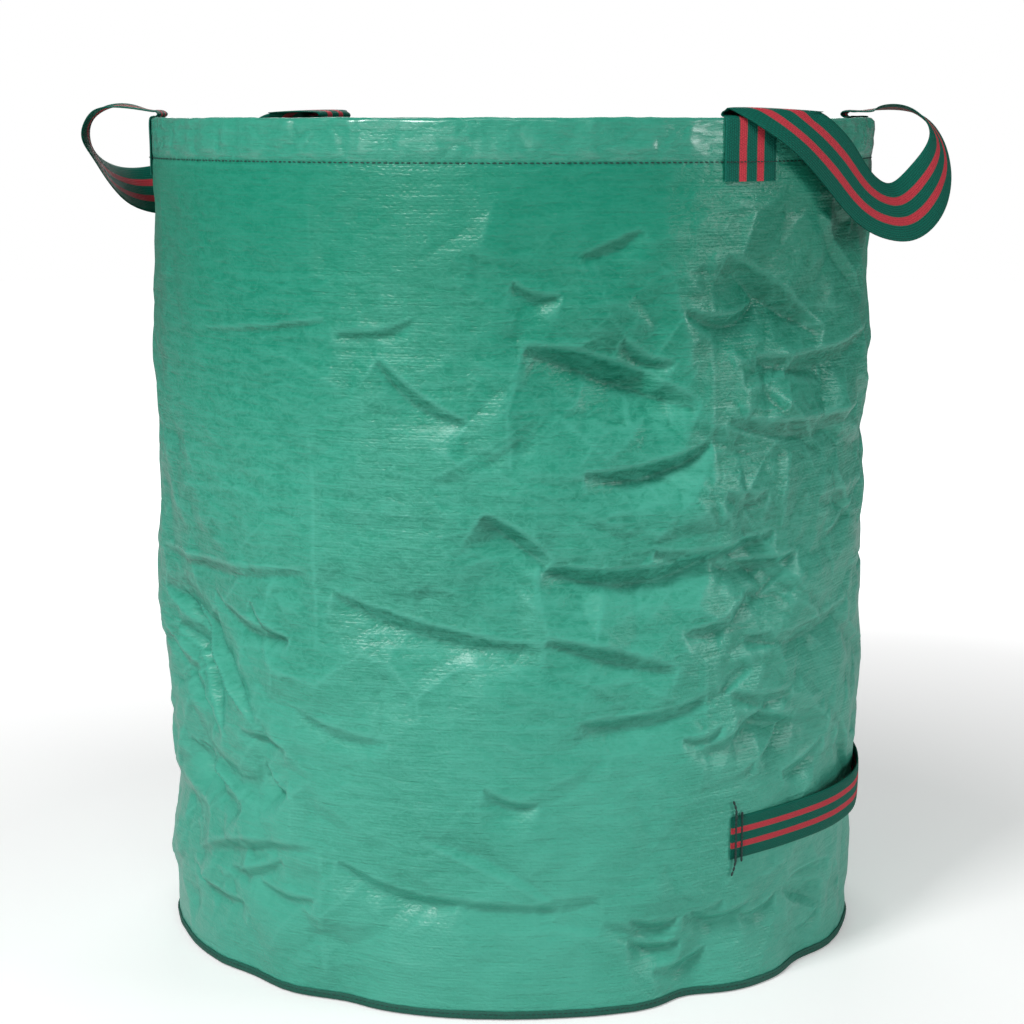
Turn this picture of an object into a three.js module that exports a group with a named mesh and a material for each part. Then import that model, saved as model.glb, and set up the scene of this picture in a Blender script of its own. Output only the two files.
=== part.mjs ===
// A collapsible garden waste bag standing open and empty: a seamless tube of woven polypropylene
// with a hemmed mouth, a stiffening hoop inside the hem, a round base sewn in under a binding tape,
// two webbing carry handles that flop over the rim, and one webbing handle near the base for tipping.
// Millimetres, +Z up. The origin is the centre of the base on the floor. The carry handles lie
// towards +X and -X, and the tipping handle is below the one at +X.
import * as THREE from "three";

// Driving dimensions
const RIM_RADIUS = 335;
const SEAM_DRAW_IN = 7;
const HEIGHT = 760;
const FABRIC = 1.2;
const CLEARANCE = 0.35;

const HEM_DEPTH = 40;
const HOOP_WIDTH = 28;
const HOOP_THICKNESS = 1.5;
const HOOP_END_GAP = 6;

const BELLY = 3;
const FOLD_RIDGE = 2.2;
const FLANGE_HEIGHT = 16;
const FLANGE_BEND = 5;
const BINDING_HEIGHT = 9;
const BINDING_THICKNESS = 1;
const BINDING_LIFT = 0.8;

const CARRY_STRAP_WIDTH = 56;
const TIPPING_STRAP_WIDTH = 38;
const STRAP_THICKNESS = 1.6;
const STRAP_TAIL = 52;
const STRAP_FOLD_GAP = 2.4;
const LOOP_DROP = 84;
const CARRY_END_ANGLE = 30;
const TIPPING_END_ANGLE = 31;
const TIPPING_HEIGHT = 143;
const TIPPING_BOW = 9;
const TIPPING_TAB = 34;

// Facets of the round pieces
const AROUND = 72;
const WALL_ROWS = 19;
const HEM_ROWS = 2;
const FOLD_STEPS = 4;
const STRAP_ACROSS = 4;
const STRAP_STEPS = 2;

const { cos, sin, tan, PI, exp, hypot } = Math;
const rad = THREE.MathUtils.degToRad;
const mix = THREE.MathUtils.lerp;
const smooth = THREE.MathUtils.smoothstep;

// The tube is as wide at the base as at the rim, but for what the base seam draws in
const BASE_RADIUS = RIM_RADIUS - SEAM_DRAW_IN;

// The hem's folded section
const HOOP_SLOT = HOOP_THICKNESS + 2 * CLEARANCE;
const HEM_THICKNESS = 2 * FABRIC + HOOP_SLOT;
const HEM_BEND = HEM_THICKNESS / 2;
const HEM_CENTRE_Z = HEIGHT - HEM_BEND;
const WALL_FOOT = FABRIC + CLEARANCE;
const BINDING_HEAD = BINDING_LIFT + BINDING_HEIGHT;

// Six upright creases, left where the flat bag was folded for packing
const FOLD_COUNT = 6;
const FIRST_FOLD = -36;

// Dents in the wall: bearing round the bag in degrees, height, half length, half width,
// slope in degrees and depth. A negative depth stands out.
const DENTS = [
  { bearing: -51, height: 545, length: 78, width: 34, slope: -20, depth: 9 },
  { bearing: -49, height: 390, length: 92, width: 26, slope: 3, depth: 8 },
  { bearing: -76, height: 345, length: 95, width: 24, slope: -14, depth: 6 },
  { bearing: -45, height: 470, length: 60, width: 24, slope: 10, depth: 6 },
  { bearing: -24, height: 610, length: 80, width: 36, slope: -27, depth: 8 },
  { bearing: -13, height: 395, length: 90, width: 30, slope: 8, depth: 6 },
  { bearing: -124, height: 270, length: 95, width: 26, slope: -32, depth: 8 },
  { bearing: -122, height: 172, length: 60, width: 22, slope: -30, depth: 6 },
  { bearing: -84, height: 116, length: 62, width: 20, slope: -18, depth: 6 },
  { bearing: -40, height: 260, length: 90, width: 30, slope: 12, depth: 5 },
  { bearing: 18, height: 480, length: 95, width: 34, slope: 16, depth: 9 },
  { bearing: 52, height: 330, length: 105, width: 32, slope: -14, depth: 8 },
  { bearing: 75, height: 560, length: 85, width: 36, slope: 20, depth: 8 },
  { bearing: 98, height: 210, length: 90, width: 28, slope: 10, depth: 7 },
  { bearing: 122, height: 430, length: 100, width: 34, slope: -22, depth: 9 },
  { bearing: 150, height: 250, length: 85, width: 28, slope: 18, depth: 7 },
  { bearing: 168, height: 570, length: 90, width: 34, slope: -12, depth: 8 },
  { bearing: -165, height: 400, length: 95, width: 30, slope: 15, depth: 8 },
  { bearing: -150, height: 150, length: 80, width: 26, slope: -10, depth: 6 },
];

// Puckers where the wall is gathered into the base seam: bearing and depth
const PUCKERS = [
  { bearing: -37, depth: 15 },
  { bearing: -93, depth: 9 },
  { bearing: -112, depth: 6 },
  { bearing: -12, depth: 9 },
  { bearing: 24, depth: 11 },
  { bearing: 66, depth: 7 },
  { bearing: 92, depth: 10 },
  { bearing: 143, depth: 12 },
  { bearing: -157, depth: 9 },
];
const PUCKER_HALF_ANGLE = 6;
const PUCKER_RISE = 105;

// Materials
const cloth = new THREE.MeshStandardMaterial({ color: 0x2f9c7c, roughness: 0.42, metalness: 0 });
const hoopPlastic = new THREE.MeshStandardMaterial({ color: 0x1c2a26, roughness: 0.5, metalness: 0 });
const bindingTape = new THREE.MeshStandardMaterial({ color: 0x0f5f48, roughness: 0.7, metalness: 0 });
const webbing = new THREE.MeshStandardMaterial({ color: 0x0a5a48, roughness: 0.75, metalness: 0 });

const bag = new THREE.Group();

function addPiece(name, geometry, material) {
  const mesh = new THREE.Mesh(geometry, material);
  mesh.name = name;
  bag.add(mesh);
}

// A point at a bearing (radians), a radius and a height.
function polar(bearing, radius, z) {
  return new THREE.Vector3(radius * cos(bearing), radius * sin(bearing), z);
}

// The signed difference of two bearings in degrees, from -180 to 180.
function turn(from, to) {
  return ((((to - from) % 360) + 540) % 360) - 180;
}

// Wall shape

function dentDepth(dent, degrees, z) {
  const along = rad(turn(dent.bearing, degrees)) * RIM_RADIUS;
  const up = z - dent.height;
  const tilt = rad(dent.slope);
  const p = along * cos(tilt) + up * sin(tilt);
  const q = -along * sin(tilt) + up * cos(tilt);
  return dent.depth * exp(-((p / dent.length) ** 2) - (q / dent.width) ** 2);
}

// How far the base outline is pulled in at a bearing.
function puckerDepth(degrees) {
  let depth = 0;
  for (const pucker of PUCKERS) {
    depth += pucker.depth * exp(-((turn(pucker.bearing, degrees) / PUCKER_HALF_ANGLE) ** 2));
  }
  return depth;
}

// The share of a packing crease at a bearing: 1 on the crease, 0 midway between two.
function foldShare(degrees) {
  const pitch = 360 / FOLD_COUNT;
  const offset = turn(FIRST_FOLD, degrees) / pitch;
  const near = Math.abs(offset - Math.round(offset)) * 2;
  return (1 - near) ** 2;
}

// The wall stays smooth where the tipping handle's ends are sewn to it.
function calmShare(degrees, z) {
  let share = 1;
  for (const end of [-TIPPING_END_ANGLE, TIPPING_END_ANGLE]) {
    const along = rad(turn(end, degrees)) * RIM_RADIUS;
    const away = hypot(along, z - TIPPING_HEIGHT);
    share *= smooth(away, TIPPING_STRAP_WIDTH * 1.4, TIPPING_STRAP_WIDTH * 3.2);
  }
  return share;
}

// Outer radius of the wall before any crease: a slight taper with a slight belly.
function plainRadius(z) {
  const share = z / HEIGHT;
  return mix(BASE_RADIUS, RIM_RADIUS, share) + BELLY * sin(PI * share) ** 2;
}

// Outer radius of the wall.
function outerRadius(degrees, z) {
  const underHem = HEIGHT - HEM_DEPTH;
  const belowHem = 1 - smooth(z, underHem - HEM_DEPTH * 3, underHem - HEM_DEPTH * 0.4);
  const aboveBase = smooth(z, 0, PUCKER_RISE);
  let change = FOLD_RIDGE * foldShare(degrees);
  for (const dent of DENTS) {
    change -= dentDepth(dent, degrees, z);
  }
  const gather = puckerDepth(degrees) * (1 - aboveBase);
  const worn = belowHem * calmShare(degrees, z) * (change * mix(0.35, 1, aboveBase) - gather);
  return mix(RIM_RADIUS, plainRadius(z), belowHem) + worn;
}

// Radius of the base seam, which the base panel and the binding follow.
function seamRadius(degrees) {
  return outerRadius(degrees, WALL_FOOT);
}

// Geometry from a grid of points: grid[i][j] is point j of ring i. Rings follow each other round
// (closed) or end in caps, and each ring is a closed loop.
function gridGeometry(grid, closed) {
  const rings = grid.length;
  const size = grid[0].length;
  const triangles = [];
  const quad = (a, b, c, d) => triangles.push(a, b, c, a, c, d);
  const last = closed ? rings : rings - 1;
  for (let i = 0; i < last; i++) {
    const next = grid[(i + 1) % rings];
    for (let j = 0; j < size; j++) {
      const k = (j + 1) % size;
      quad(grid[i][j], next[j], next[k], grid[i][k]);
    }
  }
  if (!closed) {
    const half = size / 2;
    const start = grid[0];
    const end = grid[rings - 1];
    for (let j = 0; j < half - 1; j++) {
      quad(start[j], start[j + 1], start[size - 2 - j], start[size - 1 - j]);
      quad(end[j + 1], end[j], end[size - 1 - j], end[size - 2 - j]);
    }
  }
  return new THREE.BufferGeometry().setFromPoints(triangles);
}

function ringGrid(section) {
  return Array.from({ length: AROUND }, (_, i) => {
    const degrees = (360 / AROUND) * i;
    return section(degrees).map(([radius, z]) => polar(rad(degrees), radius, z));
  });
}

// Side panel: one woven tube, its mouth turned in as a hem around the hoop

function hemArc(radius, from, to) {
  return Array.from({ length: FOLD_STEPS + 1 }, (_, k) => {
    const angle = mix(from, to, k / FOLD_STEPS);
    return [RIM_RADIUS - HEM_BEND + radius * cos(angle), HEM_CENTRE_Z + radius * sin(angle)];
  });
}

function wallHeights() {
  const underHem = HEIGHT - HEM_DEPTH;
  const rows = Array.from({ length: WALL_ROWS }, (_, k) => {
    return mix(FLANGE_HEIGHT, underHem, (k / (WALL_ROWS - 1)) ** 1.15);
  });
  const hem = Array.from({ length: HEM_ROWS }, (_, k) => {
    return mix(underHem, HEM_CENTRE_Z, (k + 1) / (HEM_ROWS + 1));
  });
  return [WALL_FOOT, BINDING_HEAD, ...rows, ...hem];
}

function sidePanelSection(degrees) {
  const heights = wallHeights();
  const outside = heights.map((z) => [outerRadius(degrees, z), z]);
  const inside = heights.map((z) => [outerRadius(degrees, z) - FABRIC, z]).reverse();
  const turnedIn = RIM_RADIUS - HEM_THICKNESS;
  const rawEdge = HEIGHT - HEM_DEPTH;
  return [
    ...outside,
    ...hemArc(HEM_BEND, 0, PI),
    [turnedIn, rawEdge],
    [turnedIn + FABRIC, rawEdge],
    ...hemArc(HEM_BEND - FABRIC, PI, 0),
    ...inside,
  ];
}

addPiece("side_panel", gridGeometry(ringGrid(sidePanelSection), true), cloth);

// Rim hoop: a flat plastic strip bent round inside the hem, its ends butted at +Y

function rimHoop() {
  const outer = RIM_RADIUS - FABRIC - CLEARANCE;
  const inner = outer - HOOP_THICKNESS;
  const top = HEM_CENTRE_Z - CLEARANCE;
  const bottom = top - HOOP_WIDTH;
  const half = THREE.MathUtils.radToDeg(HOOP_END_GAP / 2 / outer);
  const pitch = 360 / AROUND;
  const bearings = [half];
  for (let i = 1; i < AROUND; i++) {
    bearings.push(i * pitch);
  }
  bearings.push(360 - half);
  const rings = bearings.map((degrees) => {
    const bearing = rad(degrees + 90);
    return [
      polar(bearing, outer, bottom),
      polar(bearing, outer, top),
      polar(bearing, inner, top),
      polar(bearing, inner, bottom),
    ];
  });
  return gridGeometry(rings, false);
}

addPiece("rim_hoop", rimHoop(), hoopPlastic);

// Base panel: a round sheet, its edge turned up inside the wall as the seam allowance

function basePanelSection(degrees) {
  const outer = seamRadius(degrees) - FABRIC - CLEARANCE;
  const outerBend = (angle) => [
    outer - FLANGE_BEND + FLANGE_BEND * cos(angle),
    FLANGE_BEND + FLANGE_BEND * sin(angle),
  ];
  const innerBend = (angle) => [
    outer - FLANGE_BEND + (FLANGE_BEND - FABRIC) * cos(angle),
    FLANGE_BEND + (FLANGE_BEND - FABRIC) * sin(angle),
  ];
  // the allowance leans with the wall, which widens upwards
  const lean = outerRadius(degrees, FLANGE_HEIGHT) - seamRadius(degrees);
  const bend = [-PI / 2, -PI / 4, 0];
  return [
    ...bend.map(outerBend),
    [outer + lean, FLANGE_HEIGHT],
    [outer + lean - FABRIC, FLANGE_HEIGHT],
    ...bend.map(innerBend).reverse(),
  ];
}

function basePanel() {
  const grid = ringGrid(basePanelSection);
  const under = new THREE.Vector3(0, 0, 0);
  const over = new THREE.Vector3(0, 0, FABRIC);
  const triangles = [];
  grid.forEach((ring, i) => {
    const next = grid[(i + 1) % AROUND];
    const last = ring.length - 1;
    triangles.push(under, next[0], ring[0]);
    triangles.push(over, ring[last], next[last]);
    for (let j = 0; j < last; j++) {
      triangles.push(ring[j], next[j], next[j + 1], ring[j], next[j + 1], ring[j + 1]);
    }
  });
  return new THREE.BufferGeometry().setFromPoints(triangles);
}

addPiece("base_panel", basePanel(), cloth);

// Base binding: a tape sewn round the foot of the wall over the base seam

function bindingSection(degrees) {
  const low = seamRadius(degrees) + CLEARANCE;
  const high = outerRadius(degrees, BINDING_HEAD) + CLEARANCE;
  return [
    [low + BINDING_THICKNESS, BINDING_LIFT],
    [high + BINDING_THICKNESS, BINDING_HEAD],
    [high, BINDING_HEAD],
    [low, BINDING_LIFT],
  ];
}

addPiece("base_binding", gridGeometry(ringGrid(bindingSection), true), bindingTape);

// Webbing straps: a band swept through stations. Each station has its centre, the half line across
// the band in half widths, and a hug from 0 to 1 for how far the band bends to the wall it is sewn to.
// A slanted station keeps its line across at an angle to the band, as a slanting fold does.

function strapGeometry(stations, width) {
  const spans = stations.length - 1;
  const centres = new THREE.CatmullRomCurve3(stations.map((s) => s.centre), false, "centripetal");
  const squared = stations.map((station, i) => {
    if (station.slanted) {
      return station.across;
    }
    const along = centres.getTangent(i / spans);
    return station.across.clone().addScaledVector(along, -station.across.dot(along)).normalize();
  });
  const across = new THREE.CatmullRomCurve3(squared, false, "centripetal");
  const rings = [];
  for (let i = 0; i <= spans * STRAP_STEPS; i++) {
    const place = i / (spans * STRAP_STEPS);
    const station = Math.min(Math.floor(i / STRAP_STEPS), spans - 1);
    const part = i / STRAP_STEPS - station;
    const hug = mix(stations[station].hug, stations[station + 1].hug, part);
    const centre = centres.getPoint(place);
    const side = across.getPoint(place);
    const face = new THREE.Vector3().crossVectors(centres.getTangent(place), side).normalize();
    const outward = new THREE.Vector3(centre.x, centre.y, 0).normalize();
    const point = (v, lift) => {
      const sag = (hug * v * v) / (2 * RIM_RADIUS);
      const spot = centre.clone().addScaledVector(side, v);
      return spot.addScaledVector(face, lift).addScaledVector(outward, -sag);
    };
    const steps = Array.from({ length: STRAP_ACROSS + 1 }, (_, k) => (k / STRAP_ACROSS - 0.5) * width);
    const upper = steps.map((v) => point(v, STRAP_THICKNESS / 2));
    const lower = steps.map((v) => point(v, -STRAP_THICKNESS / 2)).reverse();
    rings.push([...upper, ...lower]);
  }
  return gridGeometry(rings, false);
}

// A direction from its radial, round and upward parts at a bearing in degrees.
function direction(degrees, radial, round, up) {
  const bearing = rad(degrees);
  return new THREE.Vector3(
    radial * cos(bearing) - round * sin(bearing),
    radial * sin(bearing) + round * cos(bearing),
    up,
  );
}

function strapStation(degrees, out, rise, [radial, round, up], hug = 0, slanted = false) {
  return {
    centre: polar(rad(degrees), RIM_RADIUS + out, HEIGHT + rise),
    across: direction(degrees, radial, round, up),
    hug,
    slanted,
  };
}

// One sewn end of a carry handle: up the outside of the hem, over the rim, a slanting fold that
// lies on top of the hem, and back out over the rim. The side is -1 or 1 for the end's place, and
// the heading is the angle in degrees at which the strap leaves, from straight outwards.
function carryEnd(side, heading) {
  const seat = CLEARANCE + STRAP_THICKNESS / 2;
  const rimCorner = (HEM_BEND + seat) * cos(PI / 4) - HEM_BEND;
  const roll = (STRAP_THICKNESS + STRAP_FOLD_GAP) / 2;
  const secondPass = seat + 2 * roll;
  const slant = rad((180 + heading) / 2);
  const away = rad(heading);
  const foldOut = CARRY_STRAP_WIDTH / 2 / tan(slant) - HEM_THICKNESS;
  const quarterShift = ((PI / 2) * roll * -cos(slant)) / sin(slant);
  const foldLine = [cos(slant) / sin(slant), 1, 0];
  const hemLine = [0, 1 / cos(away), 0];
  const station = (round, out, rise, [radial, along, up], hug = 0) => {
    const place = side * CARRY_END_ANGLE - side * THREE.MathUtils.radToDeg(round / RIM_RADIUS);
    return strapStation(place, out, rise, [radial, -side * along, up], hug, true);
  };
  const foldRound = 2 * quarterShift * sin(slant);
  const foldEnd = foldOut + 2 * quarterShift * cos(slant);
  const roundAt = (out) => foldRound + (out - foldEnd) * tan(away);
  return [
    station(0, seat, -STRAP_TAIL, [0, 1, 0], 1),
    station(0, seat, -STRAP_TAIL / 2, [0, 1, 0], 1),
    station(0, seat, -HEM_BEND, [0, 1, 0], 1),
    station(0, rimCorner, rimCorner, [0, 1, 0], 1),
    station(0, -HEM_BEND, seat, [0, 1, 0], 0.6),
    station(0, foldOut, seat, foldLine),
    station(
      quarterShift * sin(slant),
      foldOut - roll * sin(slant) + quarterShift * cos(slant),
      seat + roll,
      foldLine,
    ),
    station(foldRound, foldEnd, secondPass, foldLine),
    station(roundAt(-HEM_BEND), -HEM_BEND, secondPass, hemLine),
  ];
}

// The loops between the ends, limp and lopsided. The right one hangs near the wall and bows out
// before it climbs back to the rim, and the left one curls out from the rim like a ring. Each place
// has its bearing, then its distance from the rim and its rise as shares of the right loop's drop.
function loopStation(degrees, outShare, riseShare, across, slanted = false) {
  return strapStation(degrees, outShare * LOOP_DROP, riseShare * LOOP_DROP, across, 0, slanted);
}

const RIGHT_HEADINGS = [58, 40];
const RIGHT_LOOP = [
  loopStation(-20.7, 0.071, -0.095, [-0.25, 1.17, 0.43], true),
  loopStation(-17, 0.119, -0.262, [-0.12, 0.6, 0.79]),
  loopStation(-12.5, 0.155, -0.476, [0, 0.6, 0.8]),
  loopStation(-8.5, 0.19, -0.702, [0, 0.66, 0.75]),
  loopStation(-4.5, 0.286, -0.905, [-0.1, 0.55, 0.82]),
  loopStation(1.5, 0.452, -1, [-0.4, 0.1, 0.88]),
  loopStation(8, 0.619, -0.786, [-0.55, -0.4, 0.7]),
  loopStation(13.5, 0.762, -0.405, [-0.3, -0.78, 0.54]),
  loopStation(19, 0.595, -0.024, [-0.35, -0.9, 0.25]),
  loopStation(23.5, 0.31, 0.107, [-0.58, -0.81, 0.06]),
];
const LEFT_HEADINGS = [52, 14];
const LEFT_LOOP = [
  loopStation(-22.7, 0.071, -0.095, [-0.25, 0.98, 0.43], true),
  loopStation(-19.6, 0.119, -0.25, [-0.12, 0.6, 0.79]),
  loopStation(-13.5, 0.167, -0.452, [0, 0.5, 0.87]),
  loopStation(-7, 0.262, -0.667, [0, -0.1, 1]),
  loopStation(0, 0.417, -0.833, [0.15, -0.65, 0.74]),
  loopStation(7.5, 0.571, -0.857, [0.25, -0.85, 0.46]),
  loopStation(14, 0.667, -0.738, [0.3, -0.9, 0.3]),
  loopStation(18.5, 0.738, -0.524, [0.3, -0.93, 0.16]),
  loopStation(21, 0.786, -0.262, [0.25, -0.96, 0.05]),
  loopStation(22.8, 0.738, -0.048, [0.1, -1, 0]),
  loopStation(24.5, 0.536, 0.095, [0, -1, 0]),
  loopStation(26.2, 0.345, 0.119, [0, -1, 0]),
];

function carryHandle(loop, [nearHeading, farHeading]) {
  const stations = [...carryEnd(-1, nearHeading), ...loop, ...carryEnd(1, farHeading).reverse()];
  return strapGeometry(stations, CARRY_STRAP_WIDTH);
}

addPiece("right_carry_handle", carryHandle(RIGHT_LOOP, RIGHT_HEADINGS), webbing);
addPiece("left_carry_handle", carryHandle(LEFT_LOOP, LEFT_HEADINGS).rotateZ(PI), webbing);

// Tipping handle: a level strap sewn to the wall at both ends and bowed out between them

function tippingHandle() {
  const seat = CLEARANCE + STRAP_THICKNESS / 2;
  const tab = THREE.MathUtils.radToDeg(TIPPING_TAB / RIM_RADIUS);
  const free = TIPPING_END_ANGLE - tab;
  const level = plainRadius(TIPPING_HEIGHT);
  const half = TIPPING_STRAP_WIDTH / 2;
  const lean = plainRadius(TIPPING_HEIGHT + half) - plainRadius(TIPPING_HEIGHT - half);
  const spans = 16;
  const stations = Array.from({ length: spans + 1 }, (_, i) => {
    const degrees = mix(-TIPPING_END_ANGLE, TIPPING_END_ANGLE, i / spans);
    const share = Math.min(1, Math.abs(degrees) / free);
    const bow = TIPPING_BOW * cos((PI / 2) * share) ** 2;
    return {
      centre: polar(rad(degrees), level + seat + bow, TIPPING_HEIGHT),
      across: direction(degrees, lean, 0, TIPPING_STRAP_WIDTH),
      hug: 0,
      slanted: false,
    };
  });
  return strapGeometry(stations, TIPPING_STRAP_WIDTH);
}

addPiece("tipping_handle", tippingHandle(), webbing);

export default bag;
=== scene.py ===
"""Dresses a collapsible garden waste bag that stands open and empty.

The bag is a tube of laminated woven cloth with a hemmed mouth, and a round base is sewn in
under a tape.
Two webbing carry handles flop over the rim, and a narrower one for tipping is sewn low on the wall.
Lengths are metres, +Z is up and the origin is the centre of the base on the floor.
"""

from __future__ import annotations

import logging
import math
from dataclasses import dataclass, field
from enum import Enum

import bpy
import numpy as np
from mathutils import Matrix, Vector, geometry, noise

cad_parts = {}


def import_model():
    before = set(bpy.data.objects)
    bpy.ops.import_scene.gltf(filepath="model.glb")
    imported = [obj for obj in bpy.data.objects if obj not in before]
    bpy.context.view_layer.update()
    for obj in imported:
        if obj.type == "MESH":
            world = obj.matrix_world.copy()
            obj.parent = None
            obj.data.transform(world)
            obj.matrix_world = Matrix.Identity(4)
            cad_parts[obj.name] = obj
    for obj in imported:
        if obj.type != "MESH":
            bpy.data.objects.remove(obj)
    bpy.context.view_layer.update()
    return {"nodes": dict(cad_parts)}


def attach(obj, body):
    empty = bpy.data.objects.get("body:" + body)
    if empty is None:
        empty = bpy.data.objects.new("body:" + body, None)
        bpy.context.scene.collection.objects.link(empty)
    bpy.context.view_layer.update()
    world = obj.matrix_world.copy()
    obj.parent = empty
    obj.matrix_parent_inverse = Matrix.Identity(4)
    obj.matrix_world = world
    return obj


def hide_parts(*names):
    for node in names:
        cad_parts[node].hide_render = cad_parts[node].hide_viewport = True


LOG = logging.getLogger("garden_bag")
Array = np.ndarray
Material = bpy.types.Material
Piece = bpy.types.Object
Socket = bpy.types.NodeSocket
Tree = bpy.types.NodeTree
Colour = tuple[float, float, float]
StitchRow = tuple[Array, Array, bool]
MM = 0.001


class Slot(Enum):
    """The record's material slots."""

    CLOTH = "green_woven_laminate"
    TAPE = "dark_green_tape"
    HOOP = "black_hoop_plastic"
    WEBBING = "striped_webbing"


class Lean(Enum):
    """Which side of a crease the cloth sinks on."""

    BELOW = 1.0
    ABOVE = -1.0


# Sizes and small helpers


@dataclass(frozen=True)
class BagSize:
    """Main sizes of the bag, the same as the solids have."""

    rim_radius: float = 0.335
    base_radius: float = 0.328
    height: float = 0.760
    fabric: float = 0.0012
    clearance: float = 0.00035
    hem_depth: float = 0.040
    hem_thickness: float = 0.0046
    stitch_drop: float = 0.036
    belly: float = 0.003
    fold_ridge: float = 0.0022
    fold_count: int = 6
    first_fold: float = -36.0
    flange_height: float = 0.016
    tipping_height: float = 0.143
    tipping_end_angle: float = 31.0
    tipping_width: float = 0.038
    carry_end_angle: float = 30.0
    carry_width: float = 0.056
    strap_thickness: float = 0.0016

    @property
    def hem_bend(self) -> float:
        """Radius of the rolled hem edge."""
        return self.hem_thickness / 2

    @property
    def under_hem(self) -> float:
        """Height of the hem's raw edge."""
        return self.height - self.hem_depth

    @property
    def stitch_height(self) -> float:
        """Height of the hem's stitch line."""
        return self.height - self.stitch_drop

    @property
    def seat(self) -> float:
        """Distance from the wall to the middle of a strap sewn on it."""
        return self.clearance + self.strap_thickness / 2


def turn(start: float, degrees: Array) -> Array:
    """Signed difference of two bearings.

    Args:
        start: The bearing to measure from, in degrees.
        degrees: The bearings to measure to.

    Returns:
        Differences from -180 to 180 degrees.
    """
    return (np.asarray(degrees) - start + 540.0) % 360.0 - 180.0


def smoothstep(value: Array, low: float, high: float) -> Array:
    """Smooth ramp from 0 at low to 1 at high."""
    share = np.clip((np.asarray(value) - low) / (high - low), 0.0, 1.0)
    return share * share * (3.0 - 2.0 * share)


def polar(bearing: Array, radius: Array, z: Array) -> Array:
    """Points at bearings in degrees, radii and heights.

    Args:
        bearing: Bearings in degrees.
        radius: Radii.
        z: Heights.

    Returns:
        An array whose last axis holds x, y and z.
    """
    angle = np.radians(bearing)
    angle, radius, z = np.broadcast_arrays(angle, radius, z)
    return np.stack([radius * np.cos(angle), radius * np.sin(angle), z], axis=-1)


def bearings(count: int) -> Array:
    """Even bearings round the bag, in degrees from 0."""
    return np.arange(count) * 360.0 / count


def field_noise(points: Array, scale: Array, seed: float) -> Array:
    """Gradient noise at points.

    Args:
        points: Points, with x, y and z on the last axis.
        scale: Frequency along each axis.
        seed: Offset that picks another part of the noise.

    Returns:
        Noise values of about -1 to 1, shaped as the points.
    """
    flat = (np.asarray(points) * np.asarray(scale) + seed).reshape(-1, 3)
    values = np.fromiter((noise.noise(p) for p in flat.tolist()), float, len(flat))
    return values.reshape(np.asarray(points).shape[:-1])


# Wall form


@dataclass(frozen=True)
class Dent:
    """A soft dent in the wall, sized in millimetres and degrees."""

    bearing: float
    height: float
    length: float
    width: float
    slope: float
    depth: float


@dataclass(frozen=True)
class Crease:
    """A sharp crease between two places on the wall.

    Each place is a bearing in degrees and a height in millimetres.
    The cloth sinks by depth on one side of the line and stands up along it by ridge.
    """

    start: tuple[float, float]
    end: tuple[float, float]
    depth: float
    width: float
    ridge: float = 0.6
    sag: float = 4.0
    lean: Lean = Lean.BELOW


DENTS = (
    Dent(-51, 545, 78, 34, -20, 9),
    Dent(-49, 390, 92, 26, 3, 8),
    Dent(-76, 345, 95, 24, -14, 6),
    Dent(-45, 470, 60, 24, 10, 6),
    Dent(-24, 610, 80, 36, -27, 8),
    Dent(-13, 395, 90, 30, 8, 6),
    Dent(-124, 270, 95, 26, -32, 8),
    Dent(-122, 172, 60, 22, -30, 6),
    Dent(-84, 116, 62, 20, -18, 6),
    Dent(-40, 260, 90, 30, 12, 5),
    Dent(18, 480, 95, 34, 16, 9),
    Dent(52, 330, 105, 32, -14, 8),
    Dent(75, 560, 85, 36, 20, 8),
    Dent(98, 210, 90, 28, 10, 7),
    Dent(122, 430, 100, 34, -22, 9),
    Dent(150, 250, 85, 28, 18, 7),
    Dent(168, 570, 90, 34, -12, 8),
    Dent(-165, 400, 95, 30, 15, 8),
    Dent(-150, 150, 80, 26, -10, 6),
)

# Puckers of the base seam: bearing in degrees and depth in millimetres
PUCKERS = (
    (-37.0, 15.0),
    (-93.0, 9.0),
    (-112.0, 6.0),
    (-12.0, 9.0),
    (24.0, 11.0),
    (66.0, 7.0),
    (92.0, 10.0),
    (143.0, 12.0),
    (-157.0, 9.0),
)

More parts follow.
